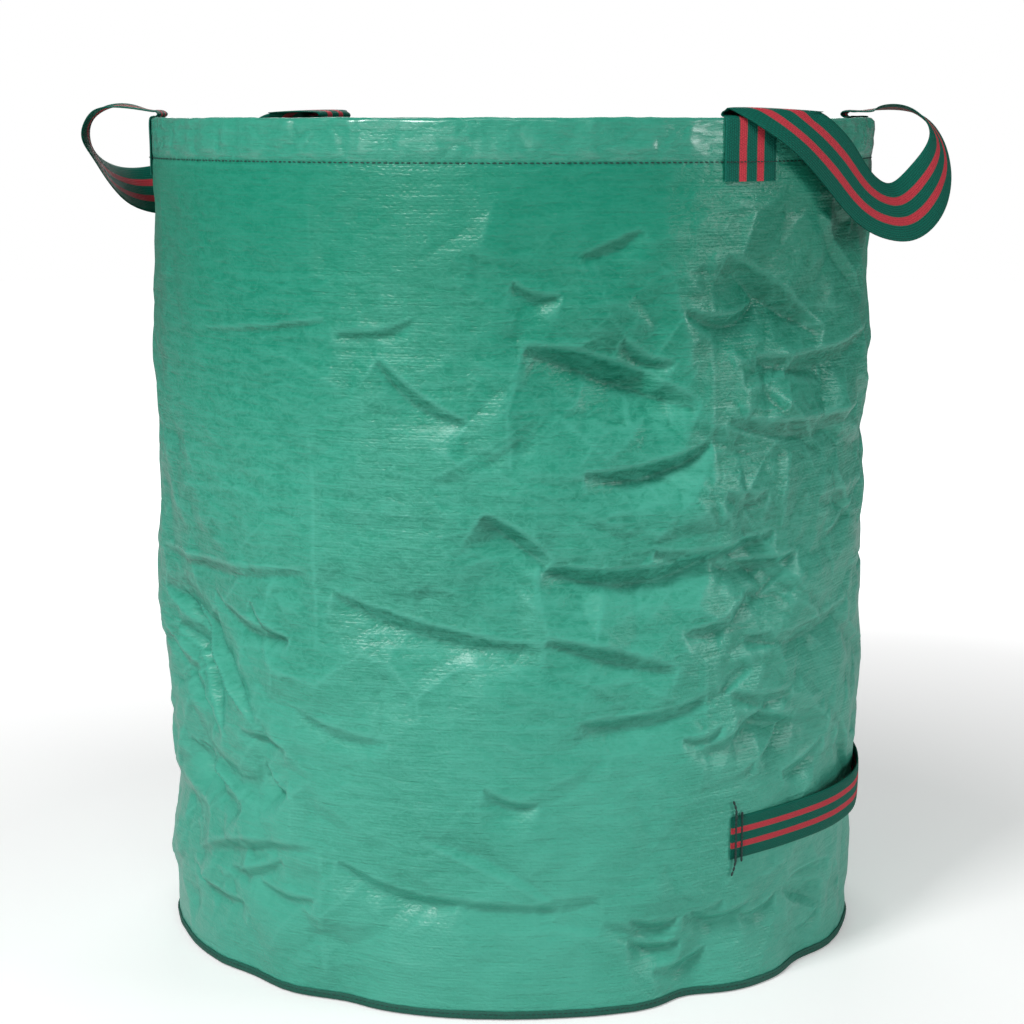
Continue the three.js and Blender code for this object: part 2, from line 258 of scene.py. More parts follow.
CREASES = (
    Crease((-85, 568), (-72, 516), 4.0, 12, 0.9, 5),
    Crease((-64, 580), (-38, 529), 7.5, 20, 1.3, -9),
    Crease((-50, 584), (-42, 562), 3.5, 10, 0.8),
    Crease((-56, 474), (-36, 496), 5.5, 15, 1.1, 6),
    Crease((-70, 440), (-60, 399), 5.0, 13, 1.0, -5),
    Crease((-62, 396), (-35, 397), 6.0, 17, 1.3, 6),
    Crease((-45, 405), (-22, 411), 4.5, 14, 1.0, 5),
    Crease((-93, 369), (-61, 328), 4.5, 15, 1.2, 5),
    Crease((-61, 335), (-41, 303), 5.0, 14, 1.1, -4),
    Crease((-34, 390), (-16, 389), 4.0, 12, 0.8),
    Crease((-139, 374), (-97, 384), 2.4, 11, 0.8, 3),
    Crease((-121, 347), (-101, 321), 3.2, 11, 0.9),
    Crease((-140, 328), (-109, 236), 6.0, 16, 1.6, -6, Lean.ABOVE),
    Crease((-140, 293), (-118, 219), 4.5, 14, 1.2, -5),
    Crease((-133, 198), (-113, 155), 5.0, 14, 1.2, 5),
    Crease((-108, 199), (-102, 185), 2.6, 9, 0.7),
    Crease((-118, 97), (-104, 121), 3.2, 10, 0.8),
    Crease((-93, 133), (-74, 103), 4.0, 13, 0.9, 4),
    Crease((-70, 207), (-62, 192), 2.8, 9, 0.7),
    Crease((-48, 85), (-40, 81), 3.0, 9, 0.8),
    Crease((-48, 65), (-39, 60), 3.4, 9, 0.8),
    Crease((-44, 34), (-34, 47), 4.5, 11, 1.0),
    Crease((-39, 82), (-27, 80), 3.0, 10, 0.8),
    Crease((-27, 562), (4, 576), 5.5, 18, 1.2, 7),
    Crease((-33, 514), (6, 510), 5.0, 17, 1.2, 8),
    Crease((-34, 650), (-10, 580), 5.5, 18, 1.3, -6),
    Crease((-28, 322), (3, 329), 4.0, 15, 1.0, 6),
    Crease((-92, 588), (-80, 600), 1.6, 9, 0.8),
    Crease((-30, 250), (-6, 232), 4.2, 15, 1.0, -5),
    Crease((-56, 262), (-36, 276), 3.2, 13, 0.9, 4),
    Crease((-100, 262), (-84, 244), 2.2, 10, 0.7),
    Crease((-135, 340), (-110, 244), 3.0, 7, 1.6, 6),
    Crease((-136, 297), (-118, 221), 3.5, 7, 1.6, -6, Lean.ABOVE),
    Crease((-110, 347), (-101, 322), 3.0, 8, 1.0, 5),
    Crease((-131, 196), (-113, 156), 6.0, 9, 1.6, -5),
    Crease((-108, 205), (-102, 182), 3.2, 7, 1.0),
    Crease((-113, 229), (-102, 223), 3.0, 8, 0.9, -4),
    Crease((-131, 92), (-97, 140), 3.5, 12, 1.0, -12),
    Crease((-131, 80), (-113, 70), 3.5, 10, 1.2, 4),
    Crease((-110, 96), (-97, 94), 3.0, 9, 0.9),
    Crease((-41, 607), (-25, 608), 4.5, 12, 1.0, 8),
    Crease((-66, 631), (-59, 619), 3.0, 9, 0.9),
    Crease((-40, 333), (-27, 358), 3.2, 12, 0.9, 5),
    Crease((-38, 227), (-23, 261), 3.2, 12, 0.9, 4),
    Crease((-31, 276), (-17, 268), 3.0, 10, 0.8),
    Crease((-119, 582), (-92, 599), 0.5, 5, 1.4, 2),
    Crease((-35, 196), (-26, 208), 3.0, 9, 1.0, 3),
    Crease((-19, 190), (-8, 211), 3.5, 10, 1.1, 4),
    Crease((-17, 86), (-3, 88), 3.2, 9, 1.0, -4),
    Crease((-38, 85), (-32, 92), 2.6, 8, 0.9),
    Crease((-28, 71), (-20, 80), 3.0, 9, 1.0),
    Crease((-25, 210), (-16, 247), 3.5, 10, 1.2, 4),
    Crease((-13, 34), (-6, 47), 2.8, 8, 0.9),
    Crease((-40, 241), (-33, 247), 2.4, 8, 0.8),
)


@dataclass(frozen=True)
class Strewing:
    """How small creases are strewn over the wall, in millimetres and degrees."""

    count: int = 220
    seed: int = 41
    heights: tuple[float, float] = (45, 690)
    slopes: tuple[float, float] = (-8, 22)
    lengths: tuple[float, float] = (40, 140)
    strengths: tuple[float, float] = (0.5, 1.0)
    widths: tuple[float, float] = (9, 17)
    sags: tuple[float, float] = (-5, 5)
    depth: float = 2.3
    ridge: float = 0.8
    leaning_below: float = 0.7
    calm_length: float = 0.8
    calm_strength: float = 0.35


# How crushed the cloth is, and where it is more or less so:
# change, bearing in degrees, height, spread in degrees and spread upwards
PLAIN_CRUSH = 0.58
CRUSH_SPOTS = (
    (-0.38, -112, 0.56, 34, 0.2),
    (0.45, -40, 0.45, 28, 0.22),
    (0.95, -125, 0.19, 24, 0.16),
    (0.3, -5, 0.42, 26, 0.3),
    (-0.3, -78, 0.2, 24, 0.1),
)

# Facets of crushed cloth: depth in millimetres, spacing along and up the wall, and seed
WALL_FACETS = (
    (6.5, (0.105, 0.062), 7),
    (4.4, (0.046, 0.026), 19),
    (1.5, (0.024, 0.013), 29),
)
HEM_FACETS = ((1.0, (0.034, 0.013), 53), (0.5, (0.014, 0.008), 57))


@dataclass
class WallForm:
    """The outer surface of the cloth wall as a radius over bearing and height.

    The packing marks sink or rise by mark, in millimetres. The values from reach to
    crest_width shape every crease, in shares of its width.
    """

    size: BagSize = field(default_factory=BagSize)
    pucker_half_angle: float = 6.0
    pucker_rise: float = 0.105
    strewing: Strewing = field(default_factory=Strewing)
    sharpness: float = 2.5
    reach: float = 7.0
    tip_width: float = 0.4
    tip_fade: float = 0.7
    back_fall: float = 1.8
    crest: float = 0.45
    crest_width: float = 0.4
    mark: float = 0.7
    mark_width: float = 0.004
    level_step: float = 0.19
    level_width: float = 0.006

    def plain_radius(self, z: Array) -> Array:
        """Radius before any crease: a slight taper with a slight belly."""
        share = np.asarray(z) / self.size.height
        taper = self.size.base_radius + (self.size.rim_radius - self.size.base_radius) * share
        return taper + self.size.belly * np.sin(math.pi * share) ** 2

    def fold_share(self, degrees: Array) -> Array:
        """Share of a packing crease: 1 on the crease and 0 midway between two."""
        offset = turn(self.size.first_fold, degrees) * self.size.fold_count / 360.0
        near = np.abs(offset - np.round(offset)) * 2.0
        return (1.0 - near) ** 2

    def calm_share(self, degrees: Array, z: Array) -> Array:
        """Share of creasing, which is 0 where the tipping handle's ends are sewn on."""
        share = np.ones(np.broadcast(degrees, z).shape)
        width = self.size.tipping_width
        for end in (-self.size.tipping_end_angle, self.size.tipping_end_angle):
            along = np.radians(turn(end, degrees)) * self.size.rim_radius
            away = np.hypot(along, z - self.size.tipping_height)
            share = share * smoothstep(away, width * 1.4, width * 3.2)
        return share

    def soft_change(self, degrees: Array, z: Array) -> Array:
        """Dents and packing folds, without the fine creases."""
        change = self.size.fold_ridge * self.fold_share(degrees) * np.ones_like(z)
        for dent in DENTS:
            along = np.radians(turn(dent.bearing, degrees)) * self.size.rim_radius
            up = z - dent.height * MM
            tilt = math.radians(dent.slope)
            p = along * math.cos(tilt) + up * math.sin(tilt)
            q = -along * math.sin(tilt) + up * math.cos(tilt)
            fall = (p / (dent.length * MM)) ** 2 + (q / (dent.width * MM)) ** 2
            change = change - dent.depth * MM * np.exp(-fall)
        return change

    def press(self, change: Array, crease: Crease, degrees: Array, z: Array) -> None:
        """Adds one crease to a grid of changes.

        Args:
            change: Changes of radius on the grid, in metres, which are added to.
            crease: The crease.
            degrees: Bearings of the columns.
            z: Heights of the rows.
        """
        middle = crease.start[0] + float(turn(crease.start[0], crease.end[0])) / 2
        scale = math.radians(1) * self.size.rim_radius
        ax = float(turn(middle, crease.start[0])) * scale
        bx = float(turn(middle, crease.end[0])) * scale
        az, bz = crease.start[1] * MM, crease.end[1] * MM
        reach = crease.width * self.reach * MM
        across = turn(middle, degrees) * scale
        columns = np.nonzero(np.abs(across) < max(abs(ax), abs(bx)) + reach)[0]
        rows = np.nonzero((z > min(az, bz) - reach) & (z < max(az, bz) + reach))[0]
        if not len(columns) or not len(rows):
            return
        x, h = np.meshgrid(across[columns], z[rows])
        length = math.hypot(bx - ax, bz - az)
        dx, dz = (bx - ax) / length, (bz - az) / length
        s = ((x - ax) * dx + (h - az) * dz) / length
        bow = np.clip(1.0 - (2.0 * s - 1.0) ** 2, 0.0, 1.0)
        side = -1.0 if dx > 0 else 1.0
        q = ((x - ax) * -dz + (h - az) * dx) * side * crease.lean.value
        q = q - crease.sag * MM * bow * crease.lean.value
        width = crease.width * MM * (self.tip_width + (1.0 - self.tip_width) * bow)
        share = q / width
        back = np.exp(-np.clip(share - 1.0, 0.0, 30.0) / self.back_fall)
        valley = np.where(share < 1.0, np.clip(share, 0.0, 1.0), back)
        crest = self.crest * np.exp(-np.abs(share) / self.crest_width)
        step = bow**self.tip_fade * (crease.ridge * crest - crease.depth * valley)
        step = step * MM * self.sharpness
        change[np.ix_(rows, columns)] += step

    def strewn(self) -> list[Crease]:
        """Small creases strewn all round the wall from a fixed seed."""
        how = self.strewing
        rng = np.random.default_rng(how.seed)
        creases = []
        for _ in range(how.count):
            bearing = rng.uniform(-180, 180)
            height = rng.uniform(*how.heights)
            front_left = abs(float(turn(-115, bearing))) < 38 and height > 330
            front = abs(float(turn(-71, bearing))) < 33 and 140 < height < 660
            slope = math.radians(rng.normal(*how.slopes))
            length = rng.uniform(*how.lengths) * (how.calm_length if front_left else 1.0)
            across = math.degrees(length * MM * math.cos(slope) / self.size.rim_radius)
            rise = length * math.sin(slope)
            calm = how.calm_strength if front_left or front else 1.0
            strength = rng.uniform(*how.strengths) * calm
            creases.append(
                Crease(
                    (bearing - across / 2, height - rise / 2),
                    (bearing + across / 2, height + rise / 2),
                    how.depth * strength,
                    rng.uniform(*how.widths),
                    how.ridge * strength,
                    rng.uniform(*how.sags),
                    Lean.BELOW if rng.random() < how.leaning_below else Lean.ABOVE,
                )
            )
        return creases

    def facets(self, degrees: Array, z: Array, spacing: tuple[float, float], seed: int) -> Array:
        """Flat facets between random points, as in cloth that has been crushed.

        Args:
            degrees: Bearings of the columns, in degrees from 0 to 360.
            z: Heights of the rows.
            spacing: Distance between the points along the wall and up it.
            seed: Seed of the random points.

        Returns:
            Values of about -1 to 1, one row for each height.
        """
        rng = np.random.default_rng(seed)
        around = 2 * math.pi * self.size.rim_radius
        columns = max(3, round(around / spacing[0]))
        rows = round((self.size.height + 2 * spacing[1]) / spacing[1]) + 1
        i, j = np.meshgrid(np.arange(columns), np.arange(rows))
        x = (i + 0.5 * (j % 2) + rng.uniform(-0.38, 0.38, i.shape)) * around / columns
        y = (j - 1 + rng.uniform(-0.38, 0.38, i.shape)) * spacing[1]
        h = rng.uniform(-1, 1, i.shape)
        px = np.concatenate([(x + k * around).ravel() for k in (-1, 0, 1)])
        py = np.tile(y.ravel(), 3)
        ph = np.tile(h.ravel(), 3)
        keep = (px > -3 * spacing[0]) & (px < around + 3 * spacing[0])
        px, py, ph = px[keep], py[keep], ph[keep]
        spots = [Vector((float(a), float(b))) for a, b in zip(px, py)]
        corners = geometry.delaunay_2d_cdt(spots, [], [], 0, 1e-7)
        verts, triangles, origin = corners[0], corners[2], corners[3]
        height = np.array([ph[o[0]] for o in origin])
        grid_x = np.radians(degrees) * self.size.rim_radius
        result = np.zeros((len(z), len(degrees)))
        for triangle in triangles:
            (x0, y0), (x1, y1), (x2, y2) = (tuple(verts[k]) for k in triangle)
            area = (y1 - y2) * (x0 - x2) + (x2 - x1) * (y0 - y2)
            if abs(area) < 1e-12:
                continue
            c0, c1 = np.searchsorted(grid_x, [min(x0, x1, x2), max(x0, x1, x2)])
            r0, r1 = np.searchsorted(z, [min(y0, y1, y2), max(y0, y1, y2)])
            if c0 == c1 or r0 == r1:
                continue
            gx, gy = np.meshgrid(grid_x[c0:c1], z[r0:r1])
            a = ((y1 - y2) * (gx - x2) + (x2 - x1) * (gy - y2)) / area
            b = ((y2 - y0) * (gx - x2) + (x0 - x2) * (gy - y2)) / area
            c = 1 - a - b
            inside = (a >= -1e-9) & (b >= -1e-9) & (c >= -1e-9)
            h0, h1, h2 = (height[k] for k in triangle)
            patch = result[r0:r1, c0:c1]
            patch[inside] = (a * h0 + b * h1 + c * h2)[inside]
        return result

    def crush_weight(self, degrees: Array, z: Array) -> Array:
        """How crushed the cloth is: calm at the upper left of the front, more elsewhere."""
        weight = PLAIN_CRUSH
        for change, bearing, height, spread, tall in CRUSH_SPOTS:
            fall = (turn(bearing, degrees) / spread) ** 2 + ((z - height) / tall) ** 2
            weight = weight + change * np.exp(-fall)
        return weight

    def radius(self, degrees: Array, z: Array) -> Array:
        """Outer radius on a grid of rows and columns.

        Args:
            degrees: Bearings of the columns, rising from 0.
            z: Heights of the rows, rising.

        Returns:
            Radii, one row for each height.
        """
        size = self.size
        d, h = np.meshgrid(degrees, z)
        below_hem = 1 - smoothstep(
            h, size.under_hem - size.hem_depth * 3, size.under_hem - size.hem_depth * 0.4
        )
        above_base = smoothstep(h, 0, self.pucker_rise)
        change = self.soft_change(d, h)
        gather = np.zeros_like(h)
        for bearing, depth in PUCKERS:
            gather += depth * MM * np.exp(-((turn(bearing, d) / self.pucker_half_angle) ** 2))
        calm = self.calm_share(d, h)
        worn = below_hem * calm * (
            change * (0.35 + 0.65 * above_base) - gather * (1 - above_base)
        )
        result = size.rim_radius + (self.plain_radius(h) - size.rim_radius) * below_hem + worn
        crush = np.zeros_like(h)
        for crease in (*CREASES, *self.strewn()):
            self.press(crush, crease, degrees, z)
        weight = self.crush_weight(d, h)
        for depth, spacing, seed in WALL_FACETS:
            crush += weight * depth * MM * self.facets(degrees, z, spacing, seed)
        upright = turn(size.first_fold, d) * size.fold_count / 360.0
        upright = np.abs(upright - np.round(upright)) * 360.0 / size.fold_count
        sharp = np.exp(-np.radians(upright) * size.rim_radius / self.mark_width)
        crush += self.mark * MM * sharp * np.clip(np.sin(19.0 * h + d) + 0.5, 0.0, 1.0)
        for level in range(1, 4):
            drop = np.abs(h - (size.height - self.level_step * level))
            crush -= self.mark * MM * np.exp(-drop / self.level_width)
        top = 1 - smoothstep(h, size.under_hem - 0.05, size.under_hem - 0.004)
        foot = 0.25 + 0.75 * smoothstep(h, 0.004, 0.05)
        return result + self.under_strap(crush, d, h) * top * foot

    def under_strap(self, crush: Array, degrees: Array, z: Array) -> Array:
        """Keeps fine creases clear of the tipping handle: none at its ends, only sunk ones behind.

        Args:
            crush: Changes of radius.
            degrees: Bearings, shaped as the changes.
            z: Heights, shaped as the changes.

        Returns:
            The changes that leave room for the handle.
        """
        size = self.size
        behind = 1 - smoothstep(
            np.abs(z - size.tipping_height), size.tipping_width * 0.55, size.tipping_width
        )
        edge = size.tipping_end_angle
        behind = behind * (1 - smoothstep(np.abs(turn(0.0, degrees)), edge + 1.0, edge + 6.0))
        crush = crush - behind * np.maximum(crush, 0.0)
        for end in (-edge, edge):
            along = np.radians(turn(end, degrees)) * size.rim_radius
            crush = crush * smoothstep(np.hypot(along, z - size.tipping_height), 0.04, 0.08)
        return crush

    def seam_radius(self, degrees: Array) -> Array:
        """Radius of the base seam."""
        return self.radius(degrees, np.array([self.size.fabric + self.size.clearance]))[0]


# Mesh helpers


def mesh_object(name: str, points: Array, faces: list, material: Material) -> Piece:
    """A smooth mesh object at the origin.

    Args:
        name: Name of the piece.
        points: Vertex positions, with x, y and z on the last axis.
        faces: Lists of vertex numbers.
        material: The finish of the piece.

    Returns:
        The new object, linked to the scene.
    """
    mesh = bpy.data.meshes.new(name)
    mesh.from_pydata(np.asarray(points).reshape(-1, 3).tolist(), [], faces)
    mesh.materials.append(material)
    mesh.polygons.foreach_set("use_smooth", np.ones(len(mesh.polygons), dtype=bool))
    mesh.update()
    piece = bpy.data.objects.new(name, mesh)
    bpy.context.collection.objects.link(piece)
    return piece


def grid_faces(rows: int, columns: int, wrap_columns: bool, wrap_rows: bool = False) -> list:
    """Quads of a grid of points numbered row by row.

    Args:
        rows: Number of rows.
        columns: Number of columns.
        wrap_columns: Whether the last column joins the first.
        wrap_rows: Whether the last row joins the first.

    Returns:
        Faces as lists of four vertex numbers.
    """
    i = np.arange(rows if wrap_rows else rows - 1)[:, None]
    j = np.arange(columns if wrap_columns else columns - 1)[None, :]
    up, right = (i + 1) % rows, (j + 1) % columns
    corners = (i * columns + j, i * columns + right, up * columns + right, up * columns + j)
    return np.stack(np.broadcast_arrays(*corners), axis=-1).reshape(-1, 4).tolist()


def cut_uv(piece: Piece, places: Array) -> None:
    """Gives a mesh a UV map with one place for each vertex."""
    corners = np.zeros(len(piece.data.loops), dtype=np.int32)
    piece.data.loops.foreach_get("vertex_index", corners)
    piece.data.uv_layers.new(name="cut").data.foreach_set("uv", places[corners].ravel())


def point_value(piece: Piece, name: str, values: Array) -> None:
    """Stores one number for each vertex under a name."""
    layer = piece.data.attributes.new(name, "FLOAT", "POINT")
    layer.data.foreach_set("value", np.asarray(values, dtype=np.float32).ravel())


def fit(piece: Piece, slot: Slot, *nodes: str) -> Piece:
    """Ties a finished piece to the frame.

    Args:
        piece: The piece.
        slot: The material slot that it belongs to; not used.
        nodes: The solids that it stands for.

    Returns:
        The same piece.
    """
    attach(piece, "root")
    if nodes:
        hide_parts(*nodes)
    LOG.info("%s: %d faces", piece.name, len(piece.data.polygons))
    return piece


# Shader node groups and finishes


@dataclass
class NodeSketch:
    """Short calls for adding nodes to a tree."""

    tree: Tree

    def add(self, kind: str, inputs: dict | None = None, **options: object) -> bpy.types.Node:
        """Adds a node.

        Args:
            kind: The node's type name.
            inputs: Socket numbers or names, each with a value or an output to link.
            options: Properties of the node.

        Returns:
            The new node.
        """
        node = self.tree.nodes.new(kind)
        for key, value in options.items():
            setattr(node, key, value)
        for key, value in (inputs or {}).items():
            if isinstance(value, Socket):
                self.link(value, node.inputs[key])
            else:
                node.inputs[key].default_value = value
        return node

    def out(self, kind: str, inputs: dict | None = None, **options: object) -> Socket:
        """Adds a node and gives its first output."""
        return self.add(kind, inputs, **options).outputs[0]

    def link(self, output: Socket, target: Socket) -> None:
        """Links an output to an input."""
        self.tree.links.new(output, target)

    def math(self, operation: str, *values: object) -> Socket:
        """Adds a math node and gives its output."""
        return self.out("ShaderNodeMath", dict(enumerate(values)), operation=operation)

    def ramp(self, value: object, low: float, high: float, start: float, end: float) -> Socket:
        """Maps a value from low..high to start..end, clamped."""
        inputs = {0: value, 1: low, 2: high, 3: start, 4: end}
        return self.out("ShaderNodeMapRange", inputs, clamp=True)

    def mix(self, share: object, first: object, second: object) -> Socket:
        """Mixes two colours."""
        inputs = {0: share, 6: first, 7: second}
        return self.add("ShaderNodeMix", inputs, data_type="RGBA").outputs[2]

    def humps(self, value: Socket) -> Socket:
        """Round humps that are 0 at whole numbers."""
        return self.math("ABSOLUTE", self.math("SINE", self.math("MULTIPLY", value, math.pi)))

    def gap(self, value: Socket, centre: float) -> Socket:
        """How far a value is from a centre."""
        return self.math("ABSOLUTE", self.math("SUBTRACT", value, centre))

    def parts(self, place: Socket) -> list[Socket]:
        """The x, y and z of a vector."""
        return list(self.add("ShaderNodeSeparateXYZ", {0: place}).outputs)

    def stretch(self, place: Socket, scale: tuple[float, float, float]) -> Socket:
        """Scales a vector axis by axis."""
        return self.out("ShaderNodeVectorMath", {0: place, 1: scale}, operation="MULTIPLY")

    def speckle(self, place: Socket, scale: object, roughness: float, **more: float) -> Socket:
        """Adds noise with three octaves, unless more says otherwise, and gives its value."""
        inputs = {"Vector": place, "Scale": scale, "Detail": 3.0, "Roughness": roughness, **more}
        return self.out("ShaderNodeTexNoise", inputs)

    def bumps(self, *layers: tuple[Socket, float, float]) -> Socket:
        """Stacks bumps, each from a height, a strength and a distance in metres."""
        below = {}
        for height, strength, distance in layers:
            inputs = {"Height": height, "Strength": strength, "Distance": distance, **below}
            below = {"Normal": self.out("ShaderNodeBump", inputs)}
        return below["Normal"]


def new_group(
    name: str, inputs: dict[str, float | None], outputs: list[str]
) -> tuple[NodeSketch, bpy.types.NodeOutputs, bpy.types.NodeInputs]:
    """Starts a shader node group.

    Args:
        name: Name of the group.
        inputs: Socket names, each with a number's default, or None for a vector.
        outputs: Names of number outputs.

    Returns:
        A sketch of the group's tree, what it is given and what it hands on.
    """
    tree = bpy.data.node_groups.new(name, "ShaderNodeTree")
    for label, default in inputs.items():
        kind = "NodeSocketVector" if default is None else "NodeSocketFloat"
        socket = tree.interface.new_socket(label, in_out="INPUT", socket_type=kind)
        if default is not None:
            socket.default_value = default
    for label in outputs:
        tree.interface.new_socket(label, in_out="OUTPUT", socket_type="NodeSocketFloat")
    source, target = tree.nodes.new("NodeGroupInput"), tree.nodes.new("NodeGroupOutput")
    return NodeSketch(tree), source.outputs, target.inputs


def weave_group() -> Tree:
    """Flat tapes woven over and under, from a UV in metres.

    Returns:
        A group with the outputs Height and Tone, which differs from tape to tape.
    """
    group, given, sent = new_group("tape_weave", {"Place": None, "Tape": 0.003}, ["Height", "Tone"])
    a, b = (group.math("DIVIDE", axis, given["Tape"]) for axis in group.parts(given["Place"])[:2])
    column, row = group.math("FLOOR", a), group.math("FLOOR", b)
    parity = group.math("PINGPONG", group.math("ADD", column, row), 1.0)
    weft, warp = (group.math("POWER", group.humps(axis), 0.5) for axis in (b, a))
    sunk = group.math("SUBTRACT", 1.0, group.math("MULTIPLY", parity, 0.35))
    over = group.math("MULTIPLY", weft, sunk)
    under = group.math("MULTIPLY", warp, group.math("MULTIPLY_ADD", parity, 0.35, 0.3))
    group.link(group.math("MAXIMUM", over, under), sent["Height"])
    by_row, by_column = (
        group.out("ShaderNodeTexWhiteNoise", {"W": tape}, noise_dimensions="1D")
        for tape in (row, column)
    )
    tone = group.math("MULTIPLY_ADD", by_column, 0.35, group.math("MULTIPLY", by_row, 0.65))
    group.link(tone, sent["Tone"])
    return group.tree


def streak_group() -> Tree:
    """Level streaks and dashes, fine crinkles and broad blotches, from a UV in metres.

    Returns:
        A group with the outputs Streak, Dash, Crinkle and Blotch.
    """
    labels = ["Streak", "Dash", "Crinkle", "Blotch"]
    group, given, sent = new_group("level_streaks", {"Place": None}, labels)
    place = given["Place"]
    streaks = group.stretch(place, (4.0, 170.0, 1.0))
    dashes = group.stretch(place, (38.0, 150.0, 1.0))
    wrinkles = group.stretch(place, (95.0, 165.0, 1.0))
    wrinkle = group.speckle(wrinkles, 1.0, 0.5, Distortion=0.7)
    off = group.math("ABSOLUTE", group.math("MULTIPLY_ADD", wrinkle, 2.0, -1.0))
    group.link(group.speckle(streaks, 1.0, 0.6), sent["Streak"])
    group.link(group.speckle(dashes, 1.0, 0.55, Distortion=0.4), sent["Dash"])
    group.link(group.math("SUBTRACT", 1.0, off), sent["Crinkle"])
    group.link(group.speckle(place, 7.0, 0.55, Detail=4.0), sent["Blotch"])
    return group.tree


def rib_group() -> Tree:
    """Ribs of woven webbing, from a UV with the share across and metres along.

    Returns:
        A group with the outputs Height and Fuzz.
    """
    inputs = {"Place": None, "Rib": 0.0022, "Yarns": 26.0}
    group, given, sent = new_group("webbing_ribs", inputs, ["Height", "Fuzz"])
    across, along, _ = group.parts(given["Place"])
    yarn = group.math("MULTIPLY", across, given["Yarns"])
    shift = group.math("MULTIPLY", group.math("PINGPONG", group.math("FLOOR", yarn), 1.0), 0.5)
    rib = group.math("ADD", group.math("DIVIDE", along, given["Rib"]), shift)
    ridge = group.math("MULTIPLY_ADD", group.humps(rib), 0.6, 0.4)
    height = group.math("MULTIPLY", group.math("POWER", group.humps(yarn), 0.6), ridge)
    group.link(height, sent["Height"])
    group.link(group.speckle(given["Place"], 60.0, 0.6), sent["Fuzz"])
    return group.tree


def grain_group() -> Tree:
    """Fine spots, from Object coordinates in metres.

    Returns:
        A group with the outputs Height and Share, which runs from 0 to 1.
    """
    inputs = {"Place": None, "Grain": 600.0}
    group, given, sent = new_group("fine_grain", inputs, ["Height", "Share"])
    spots = group.speckle(given["Place"], given["Grain"], 0.6)
    group.link(spots, sent["Height"])
    group.link(group.ramp(spots, 0.3, 0.7, 0.0, 1.0), sent["Share"])
    return group.tree


def start_material(name: str) -> tuple[Material, NodeSketch, bpy.types.NodeInputs]:
    """A new material with a Principled shader.

    Args:
        name: Name of the material.

    Returns:
        The material, a sketch of its tree and its shader's inputs.
    """
    material = bpy.data.materials.new(name)
    material.use_nodes = True
    tree = material.node_tree
    return material, NodeSketch(tree), tree.nodes["Principled BSDF"].inputs


@dataclass(frozen=True)
class Finish:
    """A finish with a plain colour that varies a little, for thread, tape and hoop."""

    name: str
    colour: Colour
    pale: Colour
    roughness: float
    grain: float
    bump: float
    vary: float = 0.08

    def build(self, grain: Tree) -> Material:
        """Makes the material on Object coordinates.

        Args:
            grain: The fine grain group.

        Returns:
            The material.
        """
        material, sketch, shader = start_material(self.name)
        place = sketch.add("ShaderNodeTexCoord").outputs["Object"]
        inputs = {"Place": place, "Grain": self.grain}
        spots = sketch.add("ShaderNodeGroup", inputs, node_tree=grain).outputs
        colour = sketch.mix(spots["Share"], (*self.colour, 1.0), (*self.pale, 1.0))
        low, high = self.roughness - self.vary, self.roughness + self.vary
        sketch.link(colour, shader["Base Color"])
        sketch.link(sketch.ramp(spots["Share"], 0.0, 1.0, low, high), shader["Roughness"])
        sketch.link(sketch.bumps((spots["Height"], 0.5, self.bump)), shader["Normal"])
        return material


